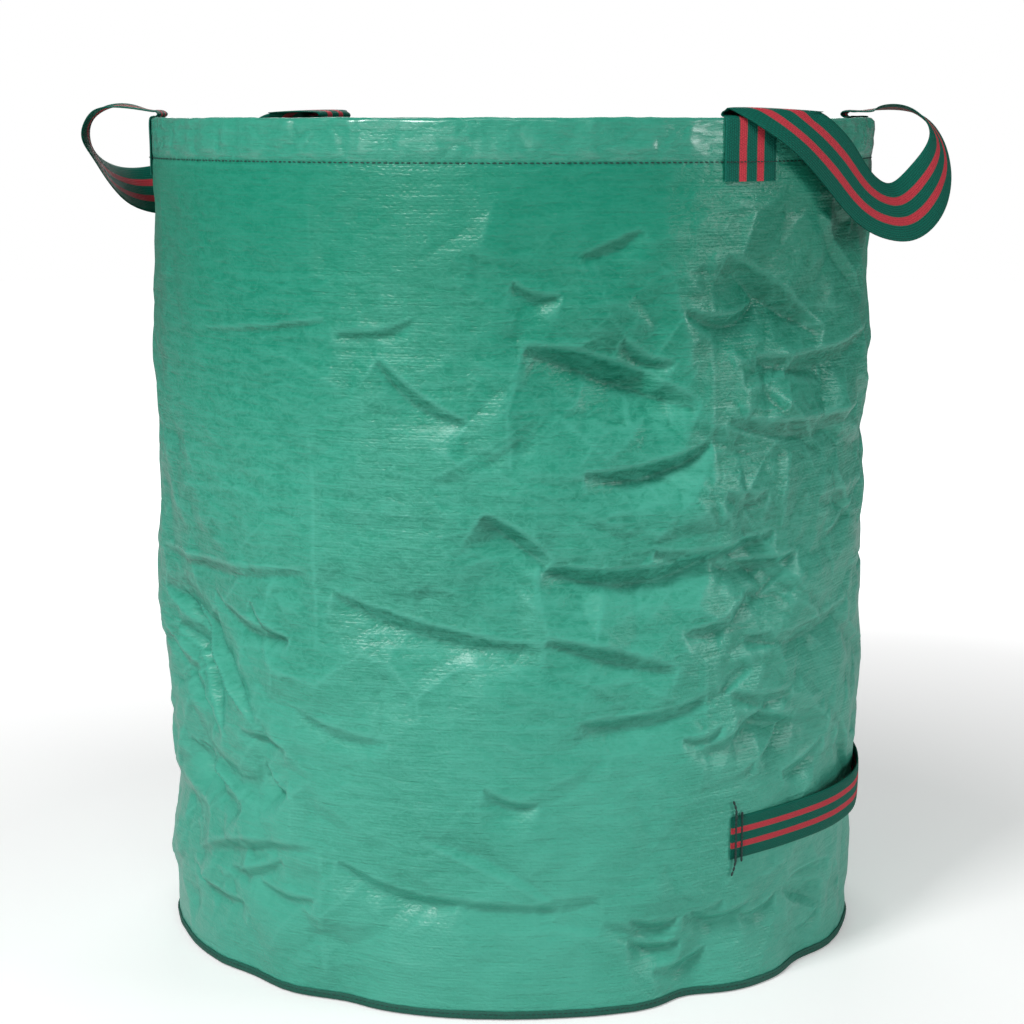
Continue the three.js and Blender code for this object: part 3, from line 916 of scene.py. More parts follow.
@dataclass(frozen=True)
class LaminateFinish:
    """Glossy laminated cloth of woven plastic tapes, with painted highlights, painted sheen and
    painted shade in its colour.
    """

    deep: Colour = (0.006, 0.225, 0.138)
    plain: Colour = (0.009, 0.325, 0.2)
    # pale serves for random pale tone, and also as painted highlight and painted sheen.
    pale: Colour = (0.085, 0.45, 0.335)
    # shade is the colour of painted shade, in creases and on slopes turned away from the light.
    shade: Colour = (0.003, 0.115, 0.068)
    tape: float = 0.0029
    hem_start: float = 0.724
    specular: float = 0.33
    coat_roughness: float = 0.22

    def build(self, weave: Tree, streaks: Tree) -> Material:
        """Makes the material on the cloth's own UV.

        Args:
            weave: The tape weave group.
            streaks: The level streak group.

        Returns:
            The material.
        """
        material, sketch, shader = start_material("woven_laminate")
        place = sketch.out("ShaderNodeUVMap", uv_map="cut")
        inputs = {"Place": place, "Tape": self.tape}
        tapes = sketch.add("ShaderNodeGroup", inputs, node_tree=weave).outputs
        lines = sketch.add("ShaderNodeGroup", {"Place": place}, node_tree=streaks).outputs
        # ridge holds painted highlights, which also set the gloss; the other attribute holds
        # painted shade.
        ridge, painted_shade = (
            sketch.add("ShaderNodeAttribute", attribute_name=name).outputs["Fac"]
            for name in ("ridge", "painted_shade")
        )
        height = sketch.parts(sketch.add("ShaderNodeTexCoord").outputs["Object"])[2]
        hem = sketch.ramp(height, self.hem_start, self.hem_start + 0.003, 0.0, 1.0)
        blotch = sketch.ramp(lines["Blotch"], 0.32, 0.68, 0.0, 1.0)
        streak = sketch.ramp(lines["Streak"], 0.3, 0.7, 0.0, 1.0)
        # Painted sheen: the wall gets paler towards the bottom, broken up by the blotches.
        low_down = sketch.ramp(height, 0.62, 0.05, 0.0, 0.9)
        painted_low_sheen = sketch.math("MULTIPLY", low_down, sketch.ramp(blotch, 0.0, 1.0, 0.6, 1.0))
        base = sketch.mix(blotch, (*self.deep, 1.0), (*self.plain, 1.0))
        for share, colour in (
            (sketch.math("MULTIPLY", streak, 0.14), self.pale),
            (sketch.math("MULTIPLY", tapes["Tone"], 0.95), self.deep),
            # Painted shade in creases and on slopes turned away from the light.
            (sketch.ramp(painted_shade, 0.0, 1.0, 0.0, 0.85), self.shade),
            # Painted highlight on crests and on slopes turned to the light.
            (sketch.ramp(ridge, 0.1, 0.9, 0.0, 0.6), self.pale),
            (sketch.ramp(lines["Dash"], 0.42, 0.62, 0.0, 0.36), self.pale),
            (sketch.ramp(lines["Crinkle"], 0.8, 1.0, 0.0, 0.36), self.pale),
            # Painted sheen towards the bottom of the wall.
            (painted_low_sheen, self.pale),
            # Painted shade: the upper wall is darker.
            (sketch.ramp(height, 0.46, 0.68, 0.0, 0.68), self.deep),
            # Painted sheen on the hem.
            (sketch.math("MULTIPLY", hem, 0.3), self.pale),
        ):
            base = sketch.mix(share, base, (*colour, 1.0))
        sketch.link(base, shader["Base Color"])
        dull = sketch.ramp(lines["Blotch"], 0.3, 0.7, 0.25, 0.35)
        sketch.link(sketch.math("MULTIPLY_ADD", streak, 0.1, dull), shader["Roughness"])
        shader["Specular IOR Level"].default_value = self.specular
        patches = sketch.ramp(lines["Blotch"], 0.5, 0.7, 0.0, 0.08)
        glossy = sketch.math("MULTIPLY_ADD", ridge, 0.12, patches)
        hem_glints = sketch.math("MULTIPLY", hem, sketch.ramp(lines["Dash"], 0.46, 0.6, 0.05, 1.0))
        sketch.link(sketch.math("ADD", glossy, hem_glints), shader["Coat Weight"])
        shader["Coat Roughness"].default_value = self.coat_roughness
        relief = sketch.bumps(
            (tapes["Height"], 0.7, 0.0003),
            (lines["Streak"], 1.0, 0.0004),
            (lines["Dash"], 1.0, 0.0015),
            (lines["Crinkle"], 0.7, 0.0006),
        )
        sketch.link(relief, shader["Normal"])
        return material


@dataclass(frozen=True)
class WebbingFinish:
    """Ribbed webbing with a pair of coloured stripes along it."""

    green: Colour = (0.002, 0.09, 0.06)
    # sheen_green and red_shade give painted sheen and painted shade for the webbing's ribs.
    sheen_green: Colour = (0.003, 0.19, 0.135)
    red: Colour = (0.72, 0.062, 0.085)
    red_shade: float = 0.7
    stripe_offset: float = 0.172
    stripe_half: float = 0.07
    stripe_blur: float = 0.006
    specular: float = 0.14

    def build(self, ribs: Tree) -> Material:
        """Makes the material on the strap's own UV.

        Args:
            ribs: The webbing rib group.

        Returns:
            The material.
        """
        material, sketch, shader = start_material("striped_webbing")
        place = sketch.out("ShaderNodeUVMap", uv_map="cut")
        weave = sketch.add("ShaderNodeGroup", {"Place": place}, node_tree=ribs).outputs
        away = sketch.gap(sketch.gap(sketch.parts(place)[0], 0.5), self.stripe_offset)
        fray = sketch.math("MULTIPLY", sketch.math("SUBTRACT", weave["Fuzz"], 0.5), 0.012)
        low, high = self.stripe_half - self.stripe_blur, self.stripe_half + self.stripe_blur
        stripe = sketch.ramp(sketch.math("ADD", away, fray), low, high, 1.0, 0.0)
        # Painted highlight on the rib tops and painted shade in the grooves between them.
        tone = sketch.ramp(weave["Height"], 0.1, 1.0, 0.0, 0.6)
        ground = sketch.mix(tone, (*self.green, 1.0), (*self.sheen_green, 1.0))
        dark_red = tuple(part * self.red_shade for part in self.red)
        red = sketch.mix(tone, (*dark_red, 1.0), (*self.red, 1.0))
        sketch.link(sketch.mix(stripe, ground, red), shader["Base Color"])
        sketch.link(sketch.ramp(weave["Fuzz"], 0.3, 0.7, 0.52, 0.7), shader["Roughness"])
        shader["Specular IOR Level"].default_value = self.specular
        sketch.link(sketch.bumps((weave["Height"], 0.7, 0.0006)), shader["Normal"])
        return material


# Stitches

# Most that a stitch turns from its row, in radians
SLANT = 0.12


class StitchTree:
    """A geometry node tree that lays stitches along a line of points with normals."""

    def __init__(self) -> None:
        """Builds the tree once."""
        self.tree = bpy.data.node_groups.new("stitch_row", "GeometryNodeTree")
        face = self.tree.interface
        face.new_socket("Geometry", in_out="INPUT", socket_type="NodeSocketGeometry")
        self.sockets = {}
        for label, kind, default in (
            ("Pitch", "NodeSocketFloat", 0.005),
            ("Length", "NodeSocketFloat", 0.0036),
            ("Thread", "NodeSocketFloat", 0.0005),
            ("Lift", "NodeSocketFloat", 0.0002),
            ("Seed", "NodeSocketInt", 3),
            ("Material", "NodeSocketMaterial", None),
        ):
            socket = face.new_socket(label, in_out="INPUT", socket_type=kind)
            if default is not None:
                socket.default_value = default
            self.sockets[label] = socket.identifier
        face.new_socket("Geometry", in_out="OUTPUT", socket_type="NodeSocketGeometry")
        sketch = NodeSketch(self.tree)
        source = sketch.add("NodeGroupInput").outputs
        line = sketch.out("GeometryNodeMeshToCurve", {0: source["Geometry"]})
        inputs = {"Curve": line, "Length": source["Pitch"]}
        spaced = sketch.out("GeometryNodeResampleCurve", inputs, mode="LENGTH")
        normal = sketch.out(
            "GeometryNodeInputNamedAttribute", {0: "outward"}, data_type="FLOAT_VECTOR"
        )
        inputs = {0: normal, "Scale": source["Lift"]}
        raised = sketch.out("ShaderNodeVectorMath", inputs, operation="SCALE")
        moved = sketch.out("GeometryNodeSetPosition", {0: spaced, "Offset": raised})
        axes = sketch.out(
            "FunctionNodeAxesToRotation",
            {0: sketch.out("GeometryNodeInputTangent"), 1: normal},
            primary_axis="X",
            secondary_axis="Z",
        )
        inputs = {"Min": (0.0, 0.0, -SLANT), "Max": (0.0, 0.0, SLANT), "Seed": source["Seed"]}
        slant = sketch.out("FunctionNodeRandomValue", inputs, data_type="FLOAT_VECTOR")
        inputs = {0: axes, 1: slant}
        turned = sketch.out("FunctionNodeRotateRotation", inputs, rotation_space="LOCAL")
        half = sketch.math("MULTIPLY", source["Length"], 0.5)
        inputs = {0: half, 1: source["Thread"], 2: source["Thread"]}
        scale = sketch.out("ShaderNodeCombineXYZ", inputs)
        ball = sketch.out("GeometryNodeMeshUVSphere", {"Segments": 8, "Rings": 6, "Radius": 1.0})
        stitch = sketch.out("GeometryNodeTransform", {0: ball, "Scale": scale})
        inputs = {"Points": moved, "Instance": stitch, "Rotation": turned}
        placed = sketch.out("GeometryNodeInstanceOnPoints", inputs)
        real = sketch.out("GeometryNodeRealizeInstances", {0: placed})
        inputs = {0: real, "Material": source["Material"]}
        sketch.add("NodeGroupOutput", {0: sketch.out("GeometryNodeSetMaterial", inputs)})

    def lay(
        self, name: str, rows: list[StitchRow], sizes: dict[str, float], thread: Material
    ) -> Piece:
        """Lays stitches along rows.

        Args:
            name: Name of the piece.
            rows: For each row its points, their normals and whether it is closed.
            sizes: Values of the tree's named inputs.
            thread: The thread's material.

        Returns:
            A plain mesh object of all the stitches.
        """
        points, normals, edges = [], [], []
        for spots, outward, closed in rows:
            first, count = sum(len(p) for p in points), len(spots)
            points.append(spots)
            normals.append(outward)
            last = count if closed else count - 1
            edges += [(first + k, first + (k + 1) % count) for k in range(last)]
        mesh = bpy.data.meshes.new(name + "_line")
        mesh.from_pydata(np.concatenate(points).tolist(), edges, [])
        layer = mesh.attributes.new("outward", "FLOAT_VECTOR", "POINT")
        layer.data.foreach_set("vector", np.concatenate(normals).astype(np.float32).ravel())
        guide = bpy.data.objects.new(name + "_line", mesh)
        bpy.context.collection.objects.link(guide)
        modifier = guide.modifiers.new("stitches", "NODES")
        modifier.node_group = self.tree
        for label, value in sizes.items():
            modifier[self.sockets[label]] = value
        modifier[self.sockets["Material"]] = thread
        bpy.context.view_layer.update()
        ready = guide.evaluated_get(bpy.context.evaluated_depsgraph_get())
        made = bpy.data.meshes.new_from_object(ready)
        made.name = name
        guide.modifiers.remove(modifier)
        bpy.data.objects.remove(guide)
        made.polygons.foreach_set("use_smooth", np.ones(len(made.polygons), dtype=bool))
        piece = bpy.data.objects.new(name, made)
        bpy.context.collection.objects.link(piece)
        return piece


# Cloth pieces

# Degrees from a carry handle's end where the hem's lumps start and where they are full
STRAP_MARGIN = (7.0, 12.0)


@dataclass
class SidePanel:
    """The cloth tube with its hemmed mouth.

    The depths lump, stitch_sink, stitch_wave, pinch and bend_depth are millimetres.
    """

    form: WallForm
    sectors: int = 3
    columns: int = 864
    wall_rows: int = 300
    hem_rows: int = 20
    bend_rows: int = 8
    turned_rows: int = 14
    side_share: float = 0.55
    hem_margin: float = 0.012
    lump: float = 2.0
    stitch_sink: float = 0.9
    stitch_wave: float = 0.25
    stitch_valley: float = 0.003
    stitches_round: float = 420.0
    pinch: float = 2.6
    pinch_width: float = 0.0045
    bend_depth: float = 1.2

    def strap_room(self, degrees: Array) -> Array:
        """Share of lumps in the hem, which is 0 under the sewn ends of the carry handles.

        Args:
            degrees: Bearings of the columns.

        Returns:
            A share from 0 to 1 at each bearing.
        """
        end = self.form.size.carry_end_angle
        room = np.ones_like(degrees)
        for bearing in (end, -end, 180.0 + end, 180.0 - end):
            room *= smoothstep(np.abs(turn(bearing, degrees)), *STRAP_MARGIN)
        return room

    def hem_wobble(self, degrees: Array) -> tuple[Array, Array]:
        """Waves of the mouth's edge.

        Args:
            degrees: Bearings of the columns.

        Returns:
            How far the hem stands out and how far its edge rises at each bearing.
        """
        ring = polar(degrees, 1.0, 0.0)
        calm = self.strap_room(degrees)
        out = np.abs(field_noise(ring, 11.0, 2.3)) * 1.3
        out = out + np.abs(field_noise(ring, 31.0, 7.1)) * 0.8
        rise = field_noise(ring, 5.0, 4.7) * 1.1 + field_noise(ring, 23.0, 9.2) * 0.6
        return out * MM * calm, rise * MM * calm

    def build(self, material: Material) -> list[Piece]:
        """Makes the tube from foot to mouth and down inside the hem.

        Args:
            material: The cloth's finish.

        Returns:
            The sheets that it is cut into.
        """
        size = self.form.size
        degrees = bearings(self.columns)
        foot = size.fabric + size.clearance
        centre = size.height - size.hem_bend
        wall = np.linspace(foot, size.under_hem - self.hem_margin, self.wall_rows)
        hem = np.linspace(size.under_hem - self.hem_margin, centre, self.hem_rows + 1)[1:]
        heights = np.concatenate([wall, hem])
        out, rise = self.hem_wobble(degrees)
        outer = self.form.radius(degrees, heights)
        stitch = size.stitch_height
        hem_share = smoothstep(heights, stitch, stitch + self.hem_margin)[:, None]
        near_stitch = np.exp(-(((heights - stitch) / self.stitch_valley) ** 2))[:, None]
        pitch = np.sin(np.radians(degrees) * self.stitches_round / 2.0)[None, :]
        crushed = np.zeros_like(outer)
        for depth, spacing, seed in HEM_FACETS:
            crushed += depth * np.abs(self.form.facets(degrees, heights, spacing, seed))
        lumps = self.lump * MM * crushed * self.strap_room(degrees)
        outer = outer + (out + lumps) * hem_share
        outer = outer - (self.stitch_sink * MM + self.stitch_wave * MM * pitch) * near_stitch
        lift = smoothstep(heights, size.under_hem, centre)[:, None] * rise
        outside = polar(degrees[None, :], outer, heights[:, None] + lift)
        rows = [outside]
        for k in range(1, self.bend_rows + 1):
            angle = math.pi * k / self.bend_rows
            middle = size.rim_radius - size.hem_bend
            radius = middle + size.hem_bend * math.cos(angle) + out * (1 + math.cos(angle)) / 2
            z = centre + size.hem_bend * math.sin(angle) + rise
            rows.append(polar(degrees, radius, z)[None])
        inner = size.rim_radius - size.hem_thickness
        down = np.linspace(centre, size.under_hem, self.turned_rows + 1)[1:]
        pinch = np.exp(-(((down - stitch) / self.pinch_width) ** 2))[:, None]
        edge = field_noise(polar(degrees, 1.0, 0.0), 17.0, 5.5) * 0.8 * MM
        fray = smoothstep(-down, -stitch, -size.under_hem)[:, None]
        turned = inner + pinch * self.pinch * MM - fray * (0.5 * MM + np.abs(edge))
        z = down[:, None] + rise * smoothstep(down, size.under_hem, centre)[:, None] + fray * edge
        rows.append(polar(degrees[None, :], turned, z))
        points = np.concatenate(rows)
        return self.cut_sectors(points, outer, heights, material)

    def cut_sectors(
        self, points: Array, outer: Array, heights: Array, material: Material
    ) -> list[Piece]:
        """Cuts the tube at packing folds into sheets that share one smooth surface.

        Args:
            points: Grid of points, row by row.
            outer: Radii of the wall's rows.
            heights: Heights of the wall's rows.
            material: The cloth's finish.

        Returns:
            The sheets, in order round the bag.
        """
        size = self.form.size
        count = len(points)
        ridge, painted_shade = self.bends(outer, heights, count)
        level = np.roll(points, -1, axis=1) - np.roll(points, 1, axis=1)
        upright = np.gradient(points, axis=0)
        normals = np.cross(level, upright)
        normals /= np.linalg.norm(normals, axis=-1)[..., None]
        around = np.arange(self.columns + 1) * 2 * math.pi * size.rim_radius / self.columns
        step = np.linalg.norm(np.diff(points[:, 0], axis=0), axis=-1)
        running = np.concatenate([[0.0], np.cumsum(step)])
        width = self.columns // self.sectors
        first = round((size.first_fold + 60.0) / 360.0 * self.columns)
        pieces = []
        for k in range(self.sectors):
            picked = (first + k * width + np.arange(width + 1)) % self.columns
            faces = grid_faces(count, width + 1, False)
            piece = mesh_object(f"side_panel_cloth_{k + 1}", points[:, picked], faces, material)
            places = np.meshgrid(around[: width + 1] + around[first] + k * around[width], running)
            cut_uv(piece, np.stack(places, axis=-1).reshape(-1, 2))
            point_value(piece, "ridge", ridge[:, picked])
            point_value(piece, "painted_shade", painted_shade[:, picked])
            shown = normals[:, picked].reshape(-1, 3).tolist()
            piece.data.normals_split_custom_set_from_vertices(shown)
            pieces.append(piece)
        return pieces

    def bends(self, outer: Array, heights: Array, count: int) -> tuple[Array, Array]:
        """Where creases stand out and where they sink, from the bend and slope of the wall, as
        painted highlight and painted shade.

        Args:
            outer: Radii of the wall's rows.
            heights: Heights of the wall's rows.
            count: Number of rows of the whole tube.

        Returns:
            Shares from 0 to 1, for every row and column, of ridge, a painted highlight that also
            sets the gloss, and of painted shade.
        """
        total = np.zeros_like(outer)
        for reach, share in ((1, 1.7), (2, 0.6)):
            padded = np.pad(outer, ((reach, reach), (0, 0)), mode="edge")
            upright = outer - (padded[: -2 * reach] + padded[2 * reach :]) / 2
            level = outer - (np.roll(outer, reach, axis=1) + np.roll(outer, -reach, axis=1)) / 2
            total += share * (upright + level)
        size = self.form.size
        rise = np.gradient(outer, heights, axis=0)
        sideways = (np.roll(outer, -1, axis=1) - np.roll(outer, 1, axis=1)) / 2
        sideways = sideways * self.columns / (2 * math.pi * size.rim_radius)
        on_wall = 1 - smoothstep(heights, size.under_hem - 0.03, size.under_hem - 0.012)[:, None]
        # How far each spot faces a light from the upper left: slopes turned to it get painted
        # highlight, slopes turned away get painted shade.
        face_up = (self.side_share * sideways - rise) * on_wall
        lit_slope = np.clip((face_up - 0.1) / 0.6, 0.0, 1.0)
        shaded_slope = np.clip((-face_up - 0.08) / 0.5, 0.0, 1.0)
        ridge, painted_shade = np.zeros((count, self.columns)), np.zeros((count, self.columns))
        # ridge is painted highlight on crests and on slopes turned to the light; it also sets the
        # gloss.
        ridge[: len(outer)] = np.clip(total / (self.bend_depth * MM) + 0.5 * lit_slope, 0.0, 1.0)
        painted_shade[: len(outer)] = np.clip(-0.4 * total / (self.bend_depth * MM) + shaded_slope, 0.0, 1.0)
        ring = polar(bearings(self.columns), 1.0, 0.0)
        # Painted glints along the hem's rolled edge, which also add gloss.
        glint = smoothstep(field_noise(ring, 26.0, 1.7), 0.05, 0.4)
        ridge[len(outer) : len(outer) + self.bend_rows // 2] = glint
        return ridge, painted_shade


@dataclass
class BasePanel:
    """The round cloth base, with its edge turned up inside the wall."""

    form: WallForm
    columns: int = 300
    rings: int = 70

    def build(self, material: Material) -> Piece:
        """Makes the base sheet.

        Args:
            material: The cloth's finish.

        Returns:
            The piece.
        """
        size = self.form.size
        degrees = bearings(self.columns)
        seam = self.form.seam_radius(degrees) - size.fabric - size.clearance - 0.3 * MM
        share = np.linspace(0.012, 1.0, self.rings) ** 0.9
        bend = 5.0 * MM
        flat = polar(degrees[None, :], share[:, None] * (seam - bend), 0.0)
        crush = np.zeros(flat.shape[:2])
        for scale, seed, depth in ((9.0, 3.1, 5.0), (24.0, 8.4, 2.4), (60.0, 5.9, 0.8)):
            crush += np.abs(field_noise(flat, (scale, scale, 1.0), seed)) * depth
        cross = np.minimum(np.abs(flat[..., 0] - 0.05), np.abs(flat[..., 1] + 0.03))
        crush = crush + 2.5 * np.exp(-cross / 0.008)
        edge = 1 - smoothstep(share, 0.86, 1.0)[:, None]
        flat[..., 2] = 0.3 * MM + crush * MM * edge
        rows = [flat]
        for angle in (-60.0, -30.0, 0.0):
            turned = math.radians(angle)
            radius = seam - bend + bend * math.cos(turned)
            rows.append(polar(degrees, radius, bend + bend * math.sin(turned) + 0.3 * MM)[None])
        top = self.form.radius(degrees, np.array([size.flange_height]))[0]
        lean = np.minimum(top - size.fabric - size.clearance - 0.6 * MM, seam + 2 * MM)
        wave = field_noise(polar(degrees, 1.0, 0.0), 14.0, 1.9) * 1.5 * MM
        rows.append(polar(degrees, lean, size.flange_height + wave)[None])
        points = np.concatenate(rows)
        faces = grid_faces(len(points), self.columns, True)
        spots = np.concatenate([points.reshape(-1, 3), [[0.0, 0.0, 0.003]]])
        middle = len(spots) - 1
        faces += [[middle, (k + 1) % self.columns, k] for k in range(self.columns)]
        piece = mesh_object("base_panel_cloth", spots, faces, material)
        cut_uv(piece, spots[:, :2])
        for name in ("ridge", "painted_shade"):
            point_value(piece, name, np.zeros(len(piece.data.vertices)))
        return piece


@dataclass
class BaseBinding:
    """The tape that is sewn round the foot of the wall, with its gap in millimetres; its dark
    colour is partly painted shade where the cloth turns under.
    """

    form: WallForm
    height: float = 0.0068
    thickness: float = 0.001
    lift: float = 0.0008
    gap: float = 0.35
    stitch_share: float = 0.62
    columns: int = 480

    def outline(self, degrees: Array) -> tuple[Array, Array]:
        """The wall's radius at the tape's lower and upper edge."""
        low = self.form.seam_radius(degrees)
        high = self.form.radius(degrees, np.array([self.lift + self.height]))[0]
        return low, high

    def build(self, material: Material) -> Piece:
        """Makes the tape as a closed band.

        Args:
            material: The tape's finish.

        Returns:
            The piece.
        """
        degrees = bearings(self.columns)
        low, high = self.outline(degrees)
        ring = polar(degrees, 1.0, 0.0)
        wave = field_noise(ring, 40.0, 6.6) * 0.5 * MM
        gap = self.gap * MM
        section = []
        shares = np.linspace(0.0, 1.0, 6)
        for share in shares:
            swell = self.thickness * (0.55 + 0.6 * math.sin(math.pi * share))
            section.append((share, gap + swell))
        section += [(share, gap) for share in shares[::-1]]
        rows = []
        for share, out in section:
            radius = low + (high - low) * share + out + np.abs(wave) * (1 if out > gap else 0)
            rows.append(polar(degrees, radius, self.lift + self.height * share + wave * share))
        points = np.stack(rows)
        return mesh_object(
            "base_binding_tape", points, grid_faces(len(points), self.columns, True, True), material
        )

    def stitch_line(self) -> StitchRow:
        """The tape's stitch line, with its normals."""
        degrees = bearings(720)
        low, high = self.outline(degrees)
        radius = low + (high - low) * self.stitch_share + self.gap * MM + self.thickness * 1.1
        points = polar(degrees, radius, self.lift + self.height * self.stitch_share)
        return points, polar(degrees, 1.0, 0.0), True


# Webbing


@dataclass
class Station:
    """One place along a strap."""

    centre: Array
    across: Array
    hug: float = 0.0
    slanted: bool = False


def spline(points: Array, place: float) -> tuple[Array, Array]:
    """A point and its direction on a centripetal Catmull-Rom curve.

    Args:
        points: The curve's points.
        place: Position in spans from the first point.

    Returns:
        The point and the unnormalised direction.
    """
    last = len(points) - 1
    k = min(int(place), last - 1)
    t = place - k
    before = points[k - 1] if k > 0 else 2 * points[0] - points[1]
    after = points[k + 2] if k + 2 <= last else 2 * points[last] - points[last - 1]
    start, end = points[k], points[k + 1]
    middle = math.sqrt(np.linalg.norm(end - start)) or 1.0
    first = math.sqrt(np.linalg.norm(start - before)) or middle
    third = math.sqrt(np.linalg.norm(after - end)) or middle
    m0 = (start - before) / first - (end - before) / (first + middle) + (end - start) / middle
    m1 = (end - start) / middle - (after - start) / (middle + third) + (after - end) / third
    m0, m1 = m0 * middle, m1 * middle
    c2 = -3 * start + 3 * end - 2 * m0 - m1
    c3 = 2 * start - 2 * end + m0 + m1
    point = start + m0 * t + c2 * t * t + c3 * t**3
    return point, m0 + 2 * c2 * t + 3 * c3 * t * t


@dataclass
class Strap:
    """A band of webbing swept through stations."""

    name: str
    size: BagSize
    width: float
    stations: list[Station]
    steps: int = 10
    across_steps: int = 18
    cup: float = 0.0008
    held: int = 0
    easing: int = 25

    def sections(self) -> tuple[Array, Array, Array, Array]:
        """Centres, half lines across, faces and hugs along the strap."""
        centres = np.array([s.centre for s in self.stations])
        spans = len(centres) - 1
        squared = []
        for k, station in enumerate(self.stations):
            side = station.across
            if not station.slanted:
                along = spline(centres, float(k))[1]
                along = along / np.linalg.norm(along)
                side = side - along * side.dot(along)
                side = side / np.linalg.norm(side)
            squared.append(side)
        squared = np.array(squared)
        places = np.linspace(0, spans, spans * self.steps + 1)
        middle, sides, faces, hugs = [], [], [], []
        for place in places:
            centre, along = spline(centres, place)
            side = spline(squared, place)[0]
            face = np.cross(along, side)
            k = min(int(place), spans - 1)
            share = place - k
            hugs.append(self.stations[k].hug * (1 - share) + self.stations[k + 1].hug * share)
            middle.append(centre)
            sides.append(side)
            faces.append(face / np.linalg.norm(face))
        return self.relax(np.array(middle), np.array(sides), np.array(faces), np.array(hugs))

    def relax(
        self, middle: Array, sides: Array, faces: Array, hugs: Array
    ) -> tuple[Array, Array, Array, Array]:
        """Eases the free loop, so that it leaves its sewn ends without a corner.

        Args:
            middle: Centres along the strap.
            sides: Half lines across it.
            faces: Face normals.
            hugs: Hugs, which pass through.

        Returns:
            The same four arrays, with the free loop eased.
        """
        if not self.held:
            return middle, sides, faces, hugs
        count = len(middle)
        held = self.held * self.steps
        place = np.arange(count)
        inside = np.minimum(place - held, count - 1 - place - held)
        free = smoothstep(inside, 0, self.steps)[:, None]
        for _ in range(self.easing):
            for rows in (middle, sides, faces):
                eased = rows.copy()
                eased[1:-1] = (rows[:-2] + 2 * rows[1:-1] + rows[2:]) / 4
                rows += (eased - rows) * free
        return middle, sides, faces / np.linalg.norm(faces, axis=1)[:, None], hugs

    def build(self, material: Material) -> Piece:
        """Makes the band as a closed body with soft edges.

        Args:
            material: The webbing's finish.

        Returns:
            The piece.
        """
        middle, sides, faces, hugs = self.sections()
        outward = middle * np.array([1.0, 1.0, 0.0])
        outward = outward / np.linalg.norm(outward, axis=1)[:, None]
        step = np.linalg.norm(np.diff(middle, axis=0), axis=1)
        along = np.concatenate([[0.0], np.cumsum(step)])
        shares = np.linspace(-0.5, 0.5, self.across_steps + 1)
        half = self.size.strap_thickness / 2
        ripple = field_noise(middle, 28.0, 3.3) * 0.5 * MM * (1 - hugs)

        def line(top: float) -> list[Array]:
            rows = []
            for share in shares:
                v = share * self.width
                soft = half * (1 - 0.55 * abs(2 * share) ** 10)
                sag = hugs * v * v / (2 * self.size.rim_radius)
                cup = self.cup * (1 - hugs) * (1 - (2 * share) ** 2)
                lift = top * soft + cup + ripple
                rows.append(middle + sides * v + faces * lift[:, None] - outward * sag[:, None])
            return rows

        loop = np.stack([*line(1.0), *line(-1.0)[::-1]], axis=1)
        count, ring = loop.shape[:2]
        quads = grid_faces(count, ring, True)
        half_ring = ring // 2
        caps = []
        for j in range(half_ring - 1):
            caps.append([j, ring - 1 - j, ring - 2 - j, j + 1])
            last = (count - 1) * ring
            caps.append([last + j, last + j + 1, last + ring - 2 - j, last + ring - 1 - j])
        piece = mesh_object(self.name, loop, [face[::-1] for face in quads] + caps, material)
        u = np.concatenate([shares + 0.5, (shares + 0.5)[::-1]])
        cut_uv(piece, np.stack([np.tile(u, count), np.repeat(along, ring)], axis=-1))
        return piece


